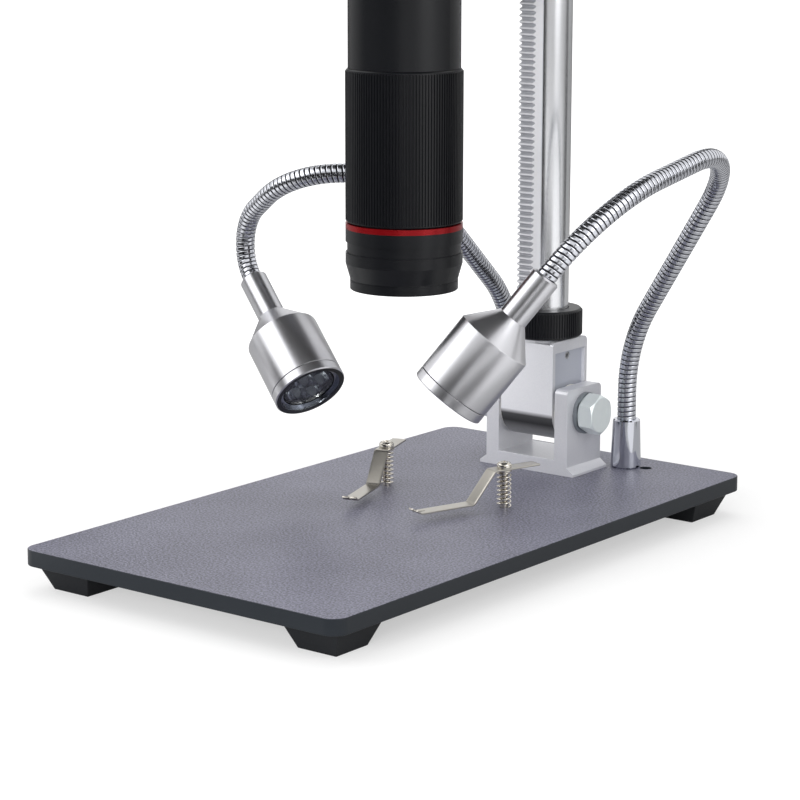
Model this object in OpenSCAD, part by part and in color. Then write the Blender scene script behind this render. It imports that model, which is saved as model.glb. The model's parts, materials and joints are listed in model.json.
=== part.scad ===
// LCD digital microscope: heavy base plate with stage clips, tilting rack column,
// camera barrel with a hinged screen, and two lamps on flexible arms.
// Origin: centre of the plate's top face (the stage). X right, Y to the rear, Z up.
// All lengths are in millimetres, all angles in degrees.

/* [Base plate] */
// Width of the base plate
plate_w = 193; // [170:1:240]
// Depth of the base plate
plate_d = 340; // [320:1:400]
// Thickness of the base plate
plate_t = 8; // [7:0.5:12]
// Radius of the plate's corners
plate_corner = 8; // [2:0.5:20]
// Diameter of the spare arm hole beside the right sleeve
spare_hole_d = 6.4; // [3:0.1:7]
// Distance of the spare hole outward from the sleeve
spare_hole_dx = 11; // [10:0.5:16]

/* [Feet and base screws] */
// Side of a foot where it meets the plate
foot_top = 33; // [26:1:40]
// Side of a foot where it meets the table
foot_bottom = 22; // [18:1:26]
// Height of a foot
foot_h = 13; // [11:0.5:20]
// Distance from the plate's side to the middle of a foot
foot_inset_x = 21; // [21:0.5:30]
// Distance from the plate's front or rear to the middle of a foot
foot_inset_y = 23; // [21:0.5:40]
// Shank diameter of a base screw (M5)
screw_d = 5; // [4:0.5:5]
// Length of a base screw's shank
screw_l = 10; // [9:0.5:10]
// Head diameter of a base screw
screw_head_d = 8.5; // [7:0.1:9.5]
// Head height of a base screw
screw_head_h = 4.6; // [3:0.1:5]
// Rubber left between a foot screw's head and the plate
foot_floor = 5; // [4:0.5:6]

/* [Stand bracket] */
// Distance from the plate's rear edge to the column axis
column_inset = 46.5; // [40:0.5:60]
// Depth of the bracket along Y
bracket_d = 32; // [30:0.5:40]
// Clear width between the uprights
bracket_gap = 36; // [35:0.5:44]
// Thickness of an upright
bracket_wall = 8; // [6:0.5:12]
// Thickness of the bracket's floor
bracket_floor = 8; // [7.5:0.5:12]
// Height of the uprights above the plate
bracket_h = 46; // [44:0.5:54]
// Width of the toe at the foot of each upright
toe_w = 4.3; // [2:0.1:8]
// Height of the toe's outer edge
toe_edge = 1.5; // [1:0.1:3]
// Height of the toe where it meets the upright
toe_h = 4.6; // [3.5:0.1:7]
// Radius of the uprights' top corners
bracket_corner = 3; // [1:0.5:6]
// Half spacing of the bracket screws along X
bracket_screw_dx = 12; // [8:0.5:13]
// Half spacing of the bracket screws along Y
bracket_screw_dy = 9; // [6:0.5:10]

/* [Tilt pivot] */
// Height of the pivot axis above the plate
pivot_z = 32; // [28:0.5:34]
// Shank diameter of the pivot bolt (M12)
bolt_d = 12; // [8:0.5:14]
// Width across flats of the bolt head and the nut
bolt_flats = 19; // [16:0.5:22]
// Height of the bolt head
bolt_head_h = 9; // [5:0.5:10]
// Height of the nut
nut_h = 10; // [6:0.5:12]
// Bolt end that stands out of the nut
bolt_end = 2.5; // [1:0.5:5]
// Outer diameter of the bolt washers
washer_d = 22; // [21:0.5:28]
// Thickness of the bolt washers
washer_t = 2; // [1:0.1:3]
// Outer diameter of the friction washers
friction_d = 28; // [20:0.5:30]

/* [Tilt block] */
// Width of the block along X
block_w = 33; // [32:0.5:34]
// Height of the block's top face above the plate
block_top = 69; // [66:0.5:80]
// Depth of the pocket in each side of the block
pocket_depth = 1.8; // [0.5:0.1:2.5]
// Height of the pocket
pocket_h = 21; // [10:0.5:22]
// Distance from the block's top to the pocket's top
pocket_drop = 4.6; // [4:0.1:9]
// Wall between the pocket and the block's front or rear
pocket_rim = 2.4; // [1:0.1:4]
// Thickness of the cheek on each side of the block
cheek_t = 2.2; // [1:0.1:3]
// Height by which the cheeks stand above the block's top
cheek_rise = 1.4; // [0.5:0.1:1.5]
// Radius of the cheeks' top corners
cheek_corner = 3; // [1:0.5:4]
// Diameter of the grub screws that hold the column (M4)
grub_d = 4; // [3:0.5:5]
// Depth of the column socket in the block
socket_depth = 27; // [20:0.5:27]

/* [Clamp collar] */
// Outer diameter of the collar
collar_d = 40; // [38:0.5:44]
// Height of the collar
collar_h = 15; // [10:0.5:20]
// Gap between the block and the collar
collar_gap = 2; // [1:0.5:4]
// Outer diameter of the block's threaded neck
neck_d = 31; // [30:0.5:31.5]
// Thickness of the collar's top lip
collar_lip = 2; // [1:0.5:4]
// Number of grip ribs on the collar
collar_ribs = 80; // [40:1:90]
// Depth of the grip ribs
rib_depth = 0.6; // [0.3:0.1:1]
// Height of the smooth bevel band at each end of a ribbed grip
grip_band = 1.2; // [0.5:0.1:2]

/* [Column and rack] */
// Diameter of the column
column_d = 25; // [24:0.5:26]
// Height of the column's top above the plate
column_top = 330; // [328:1:400]
// Distance from the column axis to the rack's seat
rack_seat = 11.5; // [10:0.1:12]
// Width of the rack
rack_w = 9; // [7:0.5:10]
// Thickness of the rack behind its teeth
rack_back = 6.25; // [4:0.05:7]
// Tooth module of the rack and the pinion
tooth_module = 1; // [1:0.05:1.05]
// Gap between the collar and the rack's lower end
rack_gap = 2; // [1:0.5:6]
// Height of the column's cap
cap_h = 4; // [3:0.5:8]

/* [Carriage] */
// Height of the carriage's lower face above the plate
carriage_z = 256; // [252:1:262]
// Height of the carriage
carriage_h = 40; // [38:1:44]
// Outer radius of the carriage around the column
carriage_r = 20; // [18:0.5:24]
// Width of the carriage's front block
carriage_w = 30; // [26:0.5:36]
// Distance from the column axis to the carriage's front face
carriage_reach = 38; // [37:0.5:44]
// Wall of a carriage bush
bush_wall = 2; // [1.5:0.1:2.5]
// Height of a carriage bush
bush_h = 8; // [6:0.5:10]
// Number of teeth of the pinion
pinion_teeth = 14; // [13:1:14]
// Diameter of the pinion shaft
shaft_d = 6; // [5:0.5:8]
// Diameter of a focus knob
knob_d = 34; // [26:1:36]
// Width of a focus knob
knob_w = 14; // [10:0.5:20]

/* [Arm and ring clamp] */
// Distance from the column axis to the barrel axis
arm_reach = 122; // [118:1:126]
// Height of the arm's section
arm_h = 22; // [16:0.5:26]
// Width of the arm
arm_w = 24; // [16:0.5:28]
// Wall of the ring around the barrel
ring_wall = 7; // [5:0.5:9]
// Width of the ring's slit
slit_w = 2.4; // [1.5:0.1:4]
// Material of a clamp ear in front of its screw's axis
ear_rim = 5; // [4:0.5:8]
// Thickness of a clamp ear
ear_t = 7; // [5:0.5:9]
// Diameter of the clamp screw's shank
clamp_screw_d = 5; // [4:0.5:6]
// Diameter of the clamp screw's knob
clamp_knob_d = 18; // [14:0.5:20]
// Shank diameter of an arm screw (M3)
arm_screw_d = 3; // [2.5:0.5:3.5]
// Head diameter of an arm screw
arm_screw_head_d = 5.5; // [5:0.1:6]

/* [Camera barrel] */
// Diameter of the barrel above the focus ring
barrel_d = 55; // [53:0.5:56]
// Height of the barrel's top above the plate
barrel_top = 306; // [304:1:312]
// Diameter of the focus ring
focus_d = 57.6; // [56:0.1:58]
// Height of the focus ring's lower edge
focus_z = 145.1; // [143:0.1:150]
// Height of the focus ring
focus_h = 75; // [60:1:90]
// Number of grip ribs on the focus ring
focus_ribs = 116; // [80:1:120]
// Wall of the focus ring
focus_wall = 3.7; // [3:0.1:4]
// Height of the lens shroud's lower edge
shroud_z = 112.1; // [100:0.1:113]
// Diameter of the shroud's mouth
mouth_d = 53.2; // [48:0.1:54]
// Height of the red trim ring
trim_h = 2.7; // [1.5:0.1:4]
// Inner radius of the barrel's bore
bore_r = 22; // [20:0.1:22]

/* [Screen] */
// Width of the screen's housing
screen_w = 186; // [176:1:200]
// Height of the screen's housing
screen_h = 118; // [114:1:130]
// Depth of the screen's housing
screen_t = 20; // [18:0.5:26]
// Corner radius of the housing
screen_corner = 6; // [3:0.5:10]
// Border of the bezel beside the visible picture
border_side = 15.5; // [12:0.5:24]
// Border of the bezel above the visible picture
border_top = 12.4; // [10:0.1:20]
// Border of the bezel below the visible picture, where the buttons are
border_bottom = 18.6; // [17:0.1:26]
// Thickness of the front bezel
bezel_t = 3; // [2:0.5:4]
// Wall of the rear cover
cover_wall = 2; // [1.5:0.1:3]
// Height of the hinge axis above the barrel's top
hinge_rise = 22; // [20:0.5:26]
// Radius of the hinge knuckles
knuckle_r = 7; // [6:0.5:8]
// Diameter of the hinge pin
hinge_pin_d = 5; // [4:0.5:6]
// Width of the middle knuckle
knuckle_w = 28; // [20:1:36]
// Width of an outer hinge ear
hinge_ear_w = 8; // [5:0.5:12]
// Diameter of a push button
button_d = 7; // [5:0.5:8]
// Travel of a push button
button_travel = 0.8; // [0.4:0.1:1]

/* [Stage clips] */
// Distance from the plate's middle line to a clip screw
clip_x = 37.5; // [32:0.5:60]
// Distance of the clip screws behind the plate's centre
clip_y = 35.3; // [30:0.1:50]
// Angle by which a clip points inwards
clip_angle = 18.3; // [10:0.1:25]
// Width of a clip leaf
leaf_w = 7.5; // [6:0.1:9]
// Thickness of a clip leaf
leaf_t = 0.8; // [0.5:0.1:1.2]
// Height of the leaf's top at the screw
leaf_z = 20.4; // [16:0.1:24]
// Height of the leaf's top at its low flat
leaf_low = 5; // [5:0.1:7]
// Length of the leaf behind the screw
leaf_tail = 20; // [10:0.5:25]
// Length of the level part ahead of the screw
leaf_level = 8; // [6:0.5:12]
// Length of the sloping part, measured along the plate
leaf_slope = 12.8; // [8:0.1:20]
// Length of the low flat
leaf_flat = 31.5; // [20:0.5:36]
// Length of the turned-up lip
leaf_lip = 3; // [1:0.5:5]
// Rise angle of the lip
lip_angle = 35; // [15:1:60]
// Shank diameter of a clip screw (M4)
clip_screw_d = 4; // [3:0.1:5]
// Head diameter of a clip screw
clip_head_d = 7.6; // [6:0.1:9]
// Head height of a clip screw
clip_head_h = 3; // [2:0.1:4]
// Outer diameter of a clip spring
spring_d = 8; // [7.5:0.1:10]
// Wire diameter of a clip spring
wire_d = 0.9; // [0.6:0.1:1.2]
// Turns of a clip spring
spring_turns = 8; // [5:1:9]

/* [Lamp arms] */
// Distance from the plate's middle line to an arm's sleeve
sleeve_x = 37.1; // [36:0.1:44]
// Distance from the plate's rear edge to a sleeve
sleeve_inset = 22.4; // [18:0.1:26]
// Diameter of a sleeve at the plate
sleeve_d = 16.2; // [14:0.1:18]
// Diameter of a sleeve at its top
sleeve_top_d = 14.6; // [13:0.1:15]
// Height of a sleeve
sleeve_h = 26.2; // [20:0.1:32]
// Diameter of a flexible arm
arm_tube_d = 10; // [8:0.1:10.4]
// Straight rise of both arms above their sleeves, up to the lower bend point
arm_rise = 10; // [8:0.5:12]

/* [Lamps] */
// Diameter of a lamp's body
lamp_d = 38; // [36:0.5:44]
// Diameter of a lamp's neck
lamp_neck_d = 14.4; // [13:0.1:16]
// Length of the neck
lamp_neck_l = 25; // [20:0.5:30]
// Length of the cone between neck and body
lamp_cone_l = 13.5; // [10:0.5:18]
// Length of the body
lamp_body_l = 31; // [26:0.5:40]
// Length of the front bezel
lamp_bezel_l = 5; // [3:0.5:8]
// Width of the joint line between body and bezel
lamp_joint = 0.3; // [0.1:0.1:0.6]
// Diameter of the bezel's opening
lamp_mouth_d = 32; // [30:0.5:33]
// Diameter of the lens
lamp_lens_d = 27.6; // [24:0.2:29]

/* [Hidden] */
$fn = 64;

// Clearances
fit = 0.05;          // radial running fit of a shaft, bolt or screw in its hole
face_gap = 0.05;     // gap between flat faces that rub
ball_gap = 0.3;      // gap between a bend point's ball and its seat
head_clear = 0.4;    // gap between a screw's head and the wall or edge beside it
over = 1;            // how far a cutter runs past the face that it cuts

// Heights and places on the base
floor_z = -plate_t - foot_h;
column_y = plate_d / 2 - column_inset;
sleeve_y = plate_d / 2 - sleeve_inset;
foot_x = plate_w / 2 - foot_inset_x;
foot_y = plate_d / 2 - foot_inset_y;
bracket_w = bracket_gap + 2 * bracket_wall;
screw_hole_depth = 6.2;
bracket_screw_cover = 2.8;
arm_shank_d = 10;
sleeve_floor = 4;

// Heights along the column
collar_z = block_top + collar_gap;
collar_top = collar_z + collar_h;
neck_top = collar_top - collar_lip - face_gap;
flat_z = collar_top + rack_gap / 2;
rack_z = collar_top + rack_gap;
tooth_pitch = PI * tooth_module;
rack_thick = rack_back + 2.25 * tooth_module;
rack_tip_y = column_y - rack_seat - rack_thick;
pitch_line_y = rack_tip_y + tooth_module;
pinion_r = tooth_module * pinion_teeth / 2;
pinion_y = pitch_line_y - pinion_r;
pinion_z = carriage_z + carriage_h / 2;
pressure_angle = 20;
backlash = 0.22;
rack_top = column_top - 1;

// Places on the arm and the barrel
barrel_y = column_y - arm_reach;
ring_r = barrel_d / 2 + fit;
ring_outer = ring_r + ring_wall;
arm_z = pinion_z - arm_h / 2;
flange_t = 4;
arm_screw_dx = carriage_w / 2 - arm_screw_head_d / 2 - head_clear;
arm_screw_dz = arm_h / 2 + arm_screw_head_d / 2 + head_clear;
flange_h = 2 * arm_screw_dz + arm_screw_head_d + 2 * head_clear;
clamp_y = barrel_y - ring_outer - clamp_knob_d / 2 + 0.8;
ear_l = barrel_y - ring_outer - clamp_y + ear_rim;
ear_w = slit_w / 2 + ear_t;
clamp_knob_t = 9;
tube_r = focus_d / 2 - focus_wall - fit;
trim_z = focus_z - trim_h - 0.2;
shroud_r = focus_d / 2;
ledge_z = barrel_top - 17;

// Places on the screen
hinge_z = barrel_top + hinge_rise;
screen_z = hinge_z + knuckle_r + 5;
screen_front = barrel_y - screen_t / 2;
cover_front = screen_front + bezel_t;
cover_back = screen_front + screen_t;
view_w = screen_w - 2 * border_side;
view_h = screen_h - border_top - border_bottom;
view_z = screen_z + border_bottom + view_h / 2;
button_z = screen_z + border_bottom / 2;
board_w = 150;
board_h = 76;
post_dx = 45;
button_pitch = 16;
boss_inset = 9;

// Shapes of the two flexible arms above their lower bend points. Each stretch is
// [straight length, bend radius, bend angle, direction of the bend about the arm].
right_middle = [[5, 83, 34.3, -11], [70, 41, 95.5, -89], [15, 0, 0, 0]];
right_upper = [[15.5, 81, 55.5, -88.5]];
left_middle = [[8, 67, 52.3, -83], [74.5, 49, 126.8, 204.3], [6, 0, 0, 0]];
left_upper = [[5.5, 24, 104.5, 271]];
arm_r = arm_tube_d / 2;
ball_r = arm_r + 0.2;
arm_plug = 12;
bar_lap = 0.5;

// ---------------------------------------------------------------- helpers

// Places children once on the right side and once, mirrored, on the left.
module both_sides() {
    children();
    mirror([1, 0, 0]) children();
}

// Places children at the four corners of a rectangle.
module four_corners(dx, dy) {
    for (sx = [-1, 1], sy = [-1, 1])
        translate([sx * dx, sy * dy, 0]) children();
}

// Outline of a rectangle with round corners, centred.
module round_rect(w, d, r) {
    square([w - 2 * r, d], center = true);
    square([w, d - 2 * r], center = true);
    four_corners(w / 2 - r, d / 2 - r) circle(r = r);
}

// Cylinder along X, centred on x = 0 unless from is given.
module x_cylinder(r, l, from = undef) {
    start = is_undef(from) ? -l / 2 : from;
    translate([start, 0, 0]) rotate([0, 90, 0]) cylinder(r = r, h = l);
}

// Ring: tube with an outer and an inner radius.
module ring(outer, inner, h) {
    difference() {
        cylinder(r = outer, h = h);
        translate([0, 0, -over]) cylinder(r = inner, h = h + 2 * over);
    }
}

// Outline of a ribbed grip: straight-sided ribs of one depth around a circle.
module ribbed_outline(r, ribs, depth) {
    step = 360 / ribs;
    polygon([for (i = [0 : ribs - 1], k = [0 : 3])
        let (a = (i + [0, 0.35, 0.5, 0.85][k]) * step, rr = k < 2 ? r : r - depth)
        [rr * cos(a), rr * sin(a)]]);
}

// Hexagonal prism along X, by its width across flats.
module x_hexagon(flats, l, from) {
    corner = flats / 2 / cos(30);
    face = flats * 0.48;
    drop = (corner - face) * tan(30);
    translate([from, 0, 0]) rotate([0, 90, 0]) intersection() {
        cylinder(r = corner, h = l, $fn = 6);
        rotate_extrude() polygon([
            [0, 0], [face, 0], [corner + over, drop + over * tan(30)],
            [corner + over, l - drop - over * tan(30)], [face, l], [0, l]]);
    }
}

// Socket-head screw pointing up, with the underside of its head at z = 0.
module cap_screw(d, l, head_d, head_h) {
    difference() {
        union() {
            translate([0, 0, -head_h]) cylinder(r = head_d / 2, h = head_h);
            translate([0, 0, -0.01]) cylinder(r = d / 2, h = l + 0.01);
        }
        translate([0, 0, -head_h - over])
            cylinder(r = d * 0.46, h = head_h * 0.55 + over, $fn = 6);
    }
}

// Moves children to the end of a bent arm's path.
module follow(path, i = 0) {
    if (i == len(path)) children();
    else translate([0, 0, path[i][0]]) rotate([0, 0, path[i][3]])
        translate([path[i][1], 0, 0]) rotate([0, path[i][2], 0])
        translate([-path[i][1], 0, 0]) rotate([0, 0, -path[i][3]]) follow(path, i + 1) children();
}

// Round bar that follows a path. A bend is a hair fatter than the straight
// stretches, which run a little way into it.
module bent_bar(path, r, i = 0) {
    if (i < len(path)) {
        bent = path[i][2] > 0;
        before = i > 0 ? bar_lap : 0;
        after = bent ? bar_lap : 0;
        translate([0, 0, -before]) cylinder(r = r, h = path[i][0] + before + after);
        if (bent)
            translate([0, 0, path[i][0]]) rotate([0, 0, path[i][3]])
                translate([path[i][1], 0, 0]) rotate([90, 0, 180])
                rotate_extrude(angle = path[i][2]) translate([path[i][1], 0]) circle(r = r + 0.05);
        follow([path[i]]) bent_bar_rest(path, r, i + 1);
    }
}

// The rest of a bar after its stretch i - 1.
module bent_bar_rest(path, r, i) {
    bent_bar(path, r, i);
}

// ---------------------------------------------------------------- base

module at_bracket_screws() {
    translate([0, column_y, 0]) four_corners(bracket_screw_dx, bracket_screw_dy) children();
}

module base_plate() {
    color("#3c3d44") difference() {
        translate([0, 0, -plate_t]) linear_extrude(plate_t) round_rect(plate_w, plate_d, plate_corner);
        // feet: tapped holes from below
        translate([0, 0, -plate_t - over]) four_corners(foot_x, foot_y)
            cylinder(r = screw_d / 2 + fit, h = screw_l - foot_floor + 0.5 + over);
        // bracket: screw holes with counterbores from below
        translate([0, 0, -plate_t - over]) at_bracket_screws() {
            cylinder(r = screw_d / 2 + fit, h = plate_t + 2 * over);
            cylinder(r = screw_head_d / 2 + 0.3, h = plate_t - bracket_screw_cover + over);
        }
        // lamp arm sleeves, spare hole and clip screws
        translate([0, sleeve_y, -plate_t - over]) both_sides() {
            translate([sleeve_x, 0, 0]) cylinder(r = arm_shank_d / 2 + fit, h = plate_t + 2 * over);
            translate([sleeve_x + spare_hole_dx, 2.8, 0])
                cylinder(r = spare_hole_d / 2, h = plate_t + 2 * over);
        }
        translate([0, clip_y, -screw_hole_depth]) both_sides() translate([clip_x, 0, 0])
            cylinder(r = clip_screw_d / 2 + fit, h = screw_hole_depth + over);
    }
}

// Side outline of a foot: wide at the plate, narrow at the table.
module foot_outline() {
    polygon([[-foot_bottom / 2, -foot_h], [foot_bottom / 2, -foot_h],
             [foot_top / 2, 0], [-foot_top / 2, 0]]);
}

module rubber_feet() {
    color("#1d1d1f") translate([0, 0, -plate_t]) four_corners(foot_x, foot_y) difference() {
        intersection() {
            rotate([90, 0, 0]) translate([0, 0, -foot_top / 2]) linear_extrude(foot_top) foot_outline();
            rotate([90, 0, 90]) translate([0, 0, -foot_top / 2]) linear_extrude(foot_top) foot_outline();
        }
        translate([0, 0, -foot_h - over]) {
            cylinder(r = screw_d / 2 + fit, h = foot_h + 2 * over);
            cylinder(r = screw_head_d / 2 + 0.3, h = foot_h - foot_floor + over);
        }
    }
}

module base_screws() {
    color("silver") {
        translate([0, 0, -plate_t - foot_floor]) four_corners(foot_x, foot_y)
            cap_screw(screw_d, screw_l, screw_head_d, screw_head_h);
        translate([0, 0, -bracket_screw_cover]) at_bracket_screws()
            cap_screw(screw_d, screw_l, screw_head_d, screw_head_h);
    }
}

// Front outline of the bracket: a U with a toe at the foot of each upright.
module bracket_outline() {
    right = [
        [bracket_w / 2 + toe_w, 0], [bracket_w / 2 + toe_w, toe_edge], [bracket_w / 2, toe_h],
        [bracket_w / 2, bracket_h], [bracket_gap / 2, bracket_h], [bracket_gap / 2, bracket_floor]];
    polygon(concat(right, [for (i = [len(right) - 1 : -1 : 0]) [-right[i][0], right[i][1]]]));
}

// Side outline of the bracket, with round top corners; x runs along Y.
module bracket_side() {
    half = bracket_d / 2;
    translate([-half, 0]) square([bracket_d, bracket_h - bracket_corner]);
    translate([-half + bracket_corner, 0]) square([bracket_d - 2 * bracket_corner, bracket_h]);
    for (s = [-1, 1])
        translate([s * (half - bracket_corner), bracket_h - bracket_corner]) circle(r = bracket_corner);
}

module stand_bracket() {
    color("#c9cacc") translate([0, column_y, 0]) difference() {
        intersection() {
            translate([0, bracket_d / 2, 0]) rotate([90, 0, 0]) linear_extrude(bracket_d) bracket_outline();
            rotate([90, 0, 90]) translate([0, 0, -bracket_w]) linear_extrude(2 * bracket_w) bracket_side();
        }
        translate([0, 0, pivot_z]) x_cylinder(bolt_d / 2 + fit, bracket_w + 2 * over);
        translate([0, 0, -over]) four_corners(bracket_screw_dx, bracket_screw_dy)
            cylinder(r = screw_d / 2 + fit, h = screw_l - bracket_screw_cover + 0.3 + over);
    }
}

module gooseneck_sleeves() {
    color("#b9bcc0") translate([0, sleeve_y, 0]) both_sides() translate([sleeve_x, 0, 0]) difference() {
        rotate_extrude() polygon([
            [0, -plate_t + 0.5], [arm_shank_d / 2, -plate_t + 0.5], [arm_shank_d / 2, 0],
            [sleeve_d / 2 - 0.8, 0], [sleeve_d / 2, 1.2],
            [sleeve_top_d / 2, sleeve_h - 0.8], [sleeve_top_d / 2 - 0.8, sleeve_h], [0, sleeve_h]]);
        translate([0, 0, sleeve_floor]) cylinder(r = arm_r + fit, h = sleeve_h);
    }
}

// ---------------------------------------------------------------- tilt pivot

module at_pivot() {
    translate([0, column_y, pivot_z]) children();
}

module pivot_bolt() {
    head_x = bracket_w / 2 + washer_t + face_gap;
    shank_l = head_x + bracket_w / 2 + washer_t + face_gap + nut_h + bolt_end;
    color("#a7aeb2") at_pivot() {
        difference() {
            x_hexagon(bolt_flats, bolt_head_h, head_x);
            x_cylinder(bolt_d * 0.3, over + 0.6, head_x + bolt_head_h - 0.6);
        }
        x_cylinder(bolt_d / 2, shank_l, head_x - shank_l);
    }
}

module pivot_nut() {
    nut_x = bracket_w / 2 + washer_t + face_gap;
    color("#a7aeb2") at_pivot() difference() {
        x_hexagon(bolt_flats, nut_h, -nut_x - nut_h);
        x_cylinder(bolt_d / 2 + fit, nut_h + 2 * over, -nut_x - nut_h - over);
    }
}

module bolt_washers() {
    color("#b4b8bb") at_pivot() both_sides() difference() {
        x_cylinder(washer_d / 2, washer_t, bracket_w / 2);
        x_cylinder(bolt_d / 2 + fit, washer_t + 2 * over, bracket_w / 2 - over);
    }
}

module friction_washers() {
    gap = (bracket_gap - block_w) / 2;
    color("#e8e6df") at_pivot() both_sides() difference() {
        x_cylinder(friction_d / 2, gap - 2 * face_gap, block_w / 2 + face_gap);
        x_cylinder(bolt_d / 2 + fit, gap + 2 * over, block_w / 2 - over);
    }
}

// Side outline of the tilt block: round below the pivot, square above; x runs along Y.
module block_side() {
    circle(r = bracket_d / 2);
    translate([-bracket_d / 2, 0]) square([bracket_d, block_top - pivot_z]);
}

// Side outline of a cheek: the block's, with round top corners above its top face.
module cheek_side() {
    half = bracket_d / 2;
    top = block_top + cheek_rise - pivot_z;
    circle(r = half);
    translate([-half, 0]) square([bracket_d, top - cheek_corner]);
    translate([-half + cheek_corner, 0]) square([bracket_d - 2 * cheek_corner, top]);
    for (s = [-1, 1]) translate([s * (half - cheek_corner), top - cheek_corner]) circle(r = cheek_corner);
}

module tilt_block() {
    pocket_top = block_top - pocket_drop;
    color("#cfd0d2") translate([0, column_y, 0]) difference() {
        union() {
            translate([0, 0, pivot_z]) rotate([90, 0, 90]) {
                translate([0, 0, -block_w / 2 + cheek_t]) linear_extrude(block_w - 2 * cheek_t) block_side();
                for (from = [-block_w / 2, block_w / 2 - cheek_t])
                    translate([0, 0, from]) linear_extrude(cheek_t) cheek_side();
            }
            translate([0, 0, block_top - over]) cylinder(r = neck_d / 2, h = neck_top - block_top + over);
        }
        translate([0, 0, pivot_z]) x_cylinder(bolt_d / 2 + fit, block_w + 2 * over);
        translate([0, 0, block_top - socket_depth]) cylinder(r = column_d / 2 + fit, h = socket_depth * 3);
        both_sides() {
            translate([block_w / 2 - pocket_depth, -bracket_d / 2 + pocket_rim, pocket_top - pocket_h])
                cube([pocket_depth + over, bracket_d - 2 * pocket_rim, pocket_h]);
            translate([0, 0, grub_z()]) x_cylinder(grub_d / 2 + fit, block_w / 2 + over, 0);
        }
    }
}

// Height of the grub screws: just below the pocket's top.
function grub_z() = block_top - pocket_drop - grub_d * 0.75;

module grub_screws() {
    inner = column_d / 2 + face_gap;
    outer = block_w / 2 - pocket_depth - 0.2;
    color("#8c8f92") translate([0, column_y, grub_z()]) both_sides() difference() {
        x_cylinder(grub_d / 2, outer - inner, inner);
        translate([outer - 1, 0, 0]) rotate([0, 90, 0]) cylinder(r = grub_d * 0.28, h = 2, $fn = 6);
    }
}

module clamp_collar() {
    r = collar_d / 2;
    color("#232325") translate([0, column_y, collar_z]) difference() {
        union() {
            rotate_extrude() polygon([[0, 0], [r - rib_depth - 0.6, 0], [r - rib_depth, 0.6],
                [r - rib_depth, collar_h - 0.6], [r - rib_depth - 0.6, collar_h], [0, collar_h]]);
            translate([0, 0, grip_band])
                linear_extrude(collar_h - 2 * grip_band) ribbed_outline(r, collar_ribs, rib_depth);
        }
        translate([0, 0, -over]) cylinder(r = neck_d / 2 + fit, h = collar_h - collar_lip + over);
        cylinder(r = column_d / 2 + 0.3, h = collar_h + over);
    }
}

// ---------------------------------------------------------------- column and rack

module column() {
    bottom = block_top - socket_depth + face_gap;
    color("#d2d3d4") translate([0, column_y, 0]) difference() {
        translate([0, 0, bottom]) cylinder(r = column_d / 2, h = column_top - bottom);
        translate([-column_d / 2, -column_d - rack_seat, flat_z])
            cube([column_d, column_d, column_top]);
    }
}

// Half widths of a tooth at its tip and at its root.
tip_half = tooth_pitch / 4 - tan(pressure_angle) * tooth_module;
root_half = tooth_pitch / 4 + tan(pressure_angle) * tooth_module * 1.25;

// Side outline of the rack; x runs along Y, y runs along Z. A tooth space lies at pinion_z.
module rack_outline() {
    first = ceil((rack_z + root_half - pinion_z) / tooth_pitch - 0.5);
    last = floor((rack_top - root_half - pinion_z) / tooth_pitch - 0.5);
    root_y = rack_tip_y + 2.25 * tooth_module;
    back_y = rack_tip_y + rack_thick;
    polygon(concat(
        [[back_y, rack_z], [root_y, rack_z]],
        [for (i = [first : last], k = [0 : 3])
            let (c = pinion_z + (i + 0.5) * tooth_pitch,
                 h = [-root_half, -tip_half, tip_half, root_half][k])
            [k == 0 || k == 3 ? root_y : rack_tip_y, c + h]],
        [[root_y, rack_top], [back_y, rack_top]]));
}

module gear_rack() {
    color("#9b9da0") translate([-rack_w / 2, 0, 0]) rotate([90, 0, 90])
        linear_extrude(rack_w) rack_outline();
}

module column_cap() {
    color("#232325") translate([0, column_y, column_top]) rotate_extrude()
        polygon([[0, 0], [column_d / 2 - 0.6, 0], [column_d / 2 - 0.6, cap_h - 1],
                 [column_d / 2 - 1.6, cap_h], [0, cap_h]]);
}

// ---------------------------------------------------------------- carriage

module carriage_outline() {
    circle(r = carriage_r);
    translate([0, -carriage_reach / 2]) round_rect(carriage_w, carriage_reach, 3);
}

module carriage_housing() {
    slot_w = rack_w + 1.2;
    slot_front = column_y - rack_tip_y + 0.8;
    color("#2a2b2e") translate([0, column_y, carriage_z]) difference() {
        linear_extrude(carriage_h) carriage_outline();
        translate([0, 0, -over]) cylinder(r = column_d / 2 + bush_wall + fit, h = carriage_h + 2 * over);
        translate([-slot_w / 2, -slot_front, -over]) cube([slot_w, slot_front, carriage_h + 2 * over]);
        translate([0, pinion_y - column_y, carriage_h / 2]) {
            x_cylinder(pinion_r + tooth_module + 0.6, slot_w);
            x_cylinder(shaft_d / 2 + fit, carriage_w + 2 * over);
        }
        translate([0, -carriage_reach, carriage_h / 2]) rotate([90, 0, 0])
            translate([0, 0, -8]) four_corners(arm_screw_dx, arm_screw_dz)
                cylinder(r = arm_screw_d / 2 + fit, h = 8 + over);
    }
}

module carriage_bushes() {
    slot_w = rack_w + 1.2;
    for (z = [0, carriage_h - bush_h])
        color("#b08d4f") translate([0, column_y, carriage_z + z]) difference() {
            ring(column_d / 2 + bush_wall, column_d / 2 + fit, bush_h);
            translate([-slot_w / 2, -2 * column_d, -over]) cube([slot_w, 2 * column_d, bush_h + 2 * over]);
        }
}

// Right half of a pinion tooth, from root to tip: [height over the pitch circle, half width],
// both as shares of the module. The foot is undercut, as a small pinion's is.
pinion_tooth = [[-1.25, 0.85], [-0.7, 0.75], [0, PI / 4 - backlash / 2], [0.475, 0.55], [0.95, 0.3]];

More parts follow.
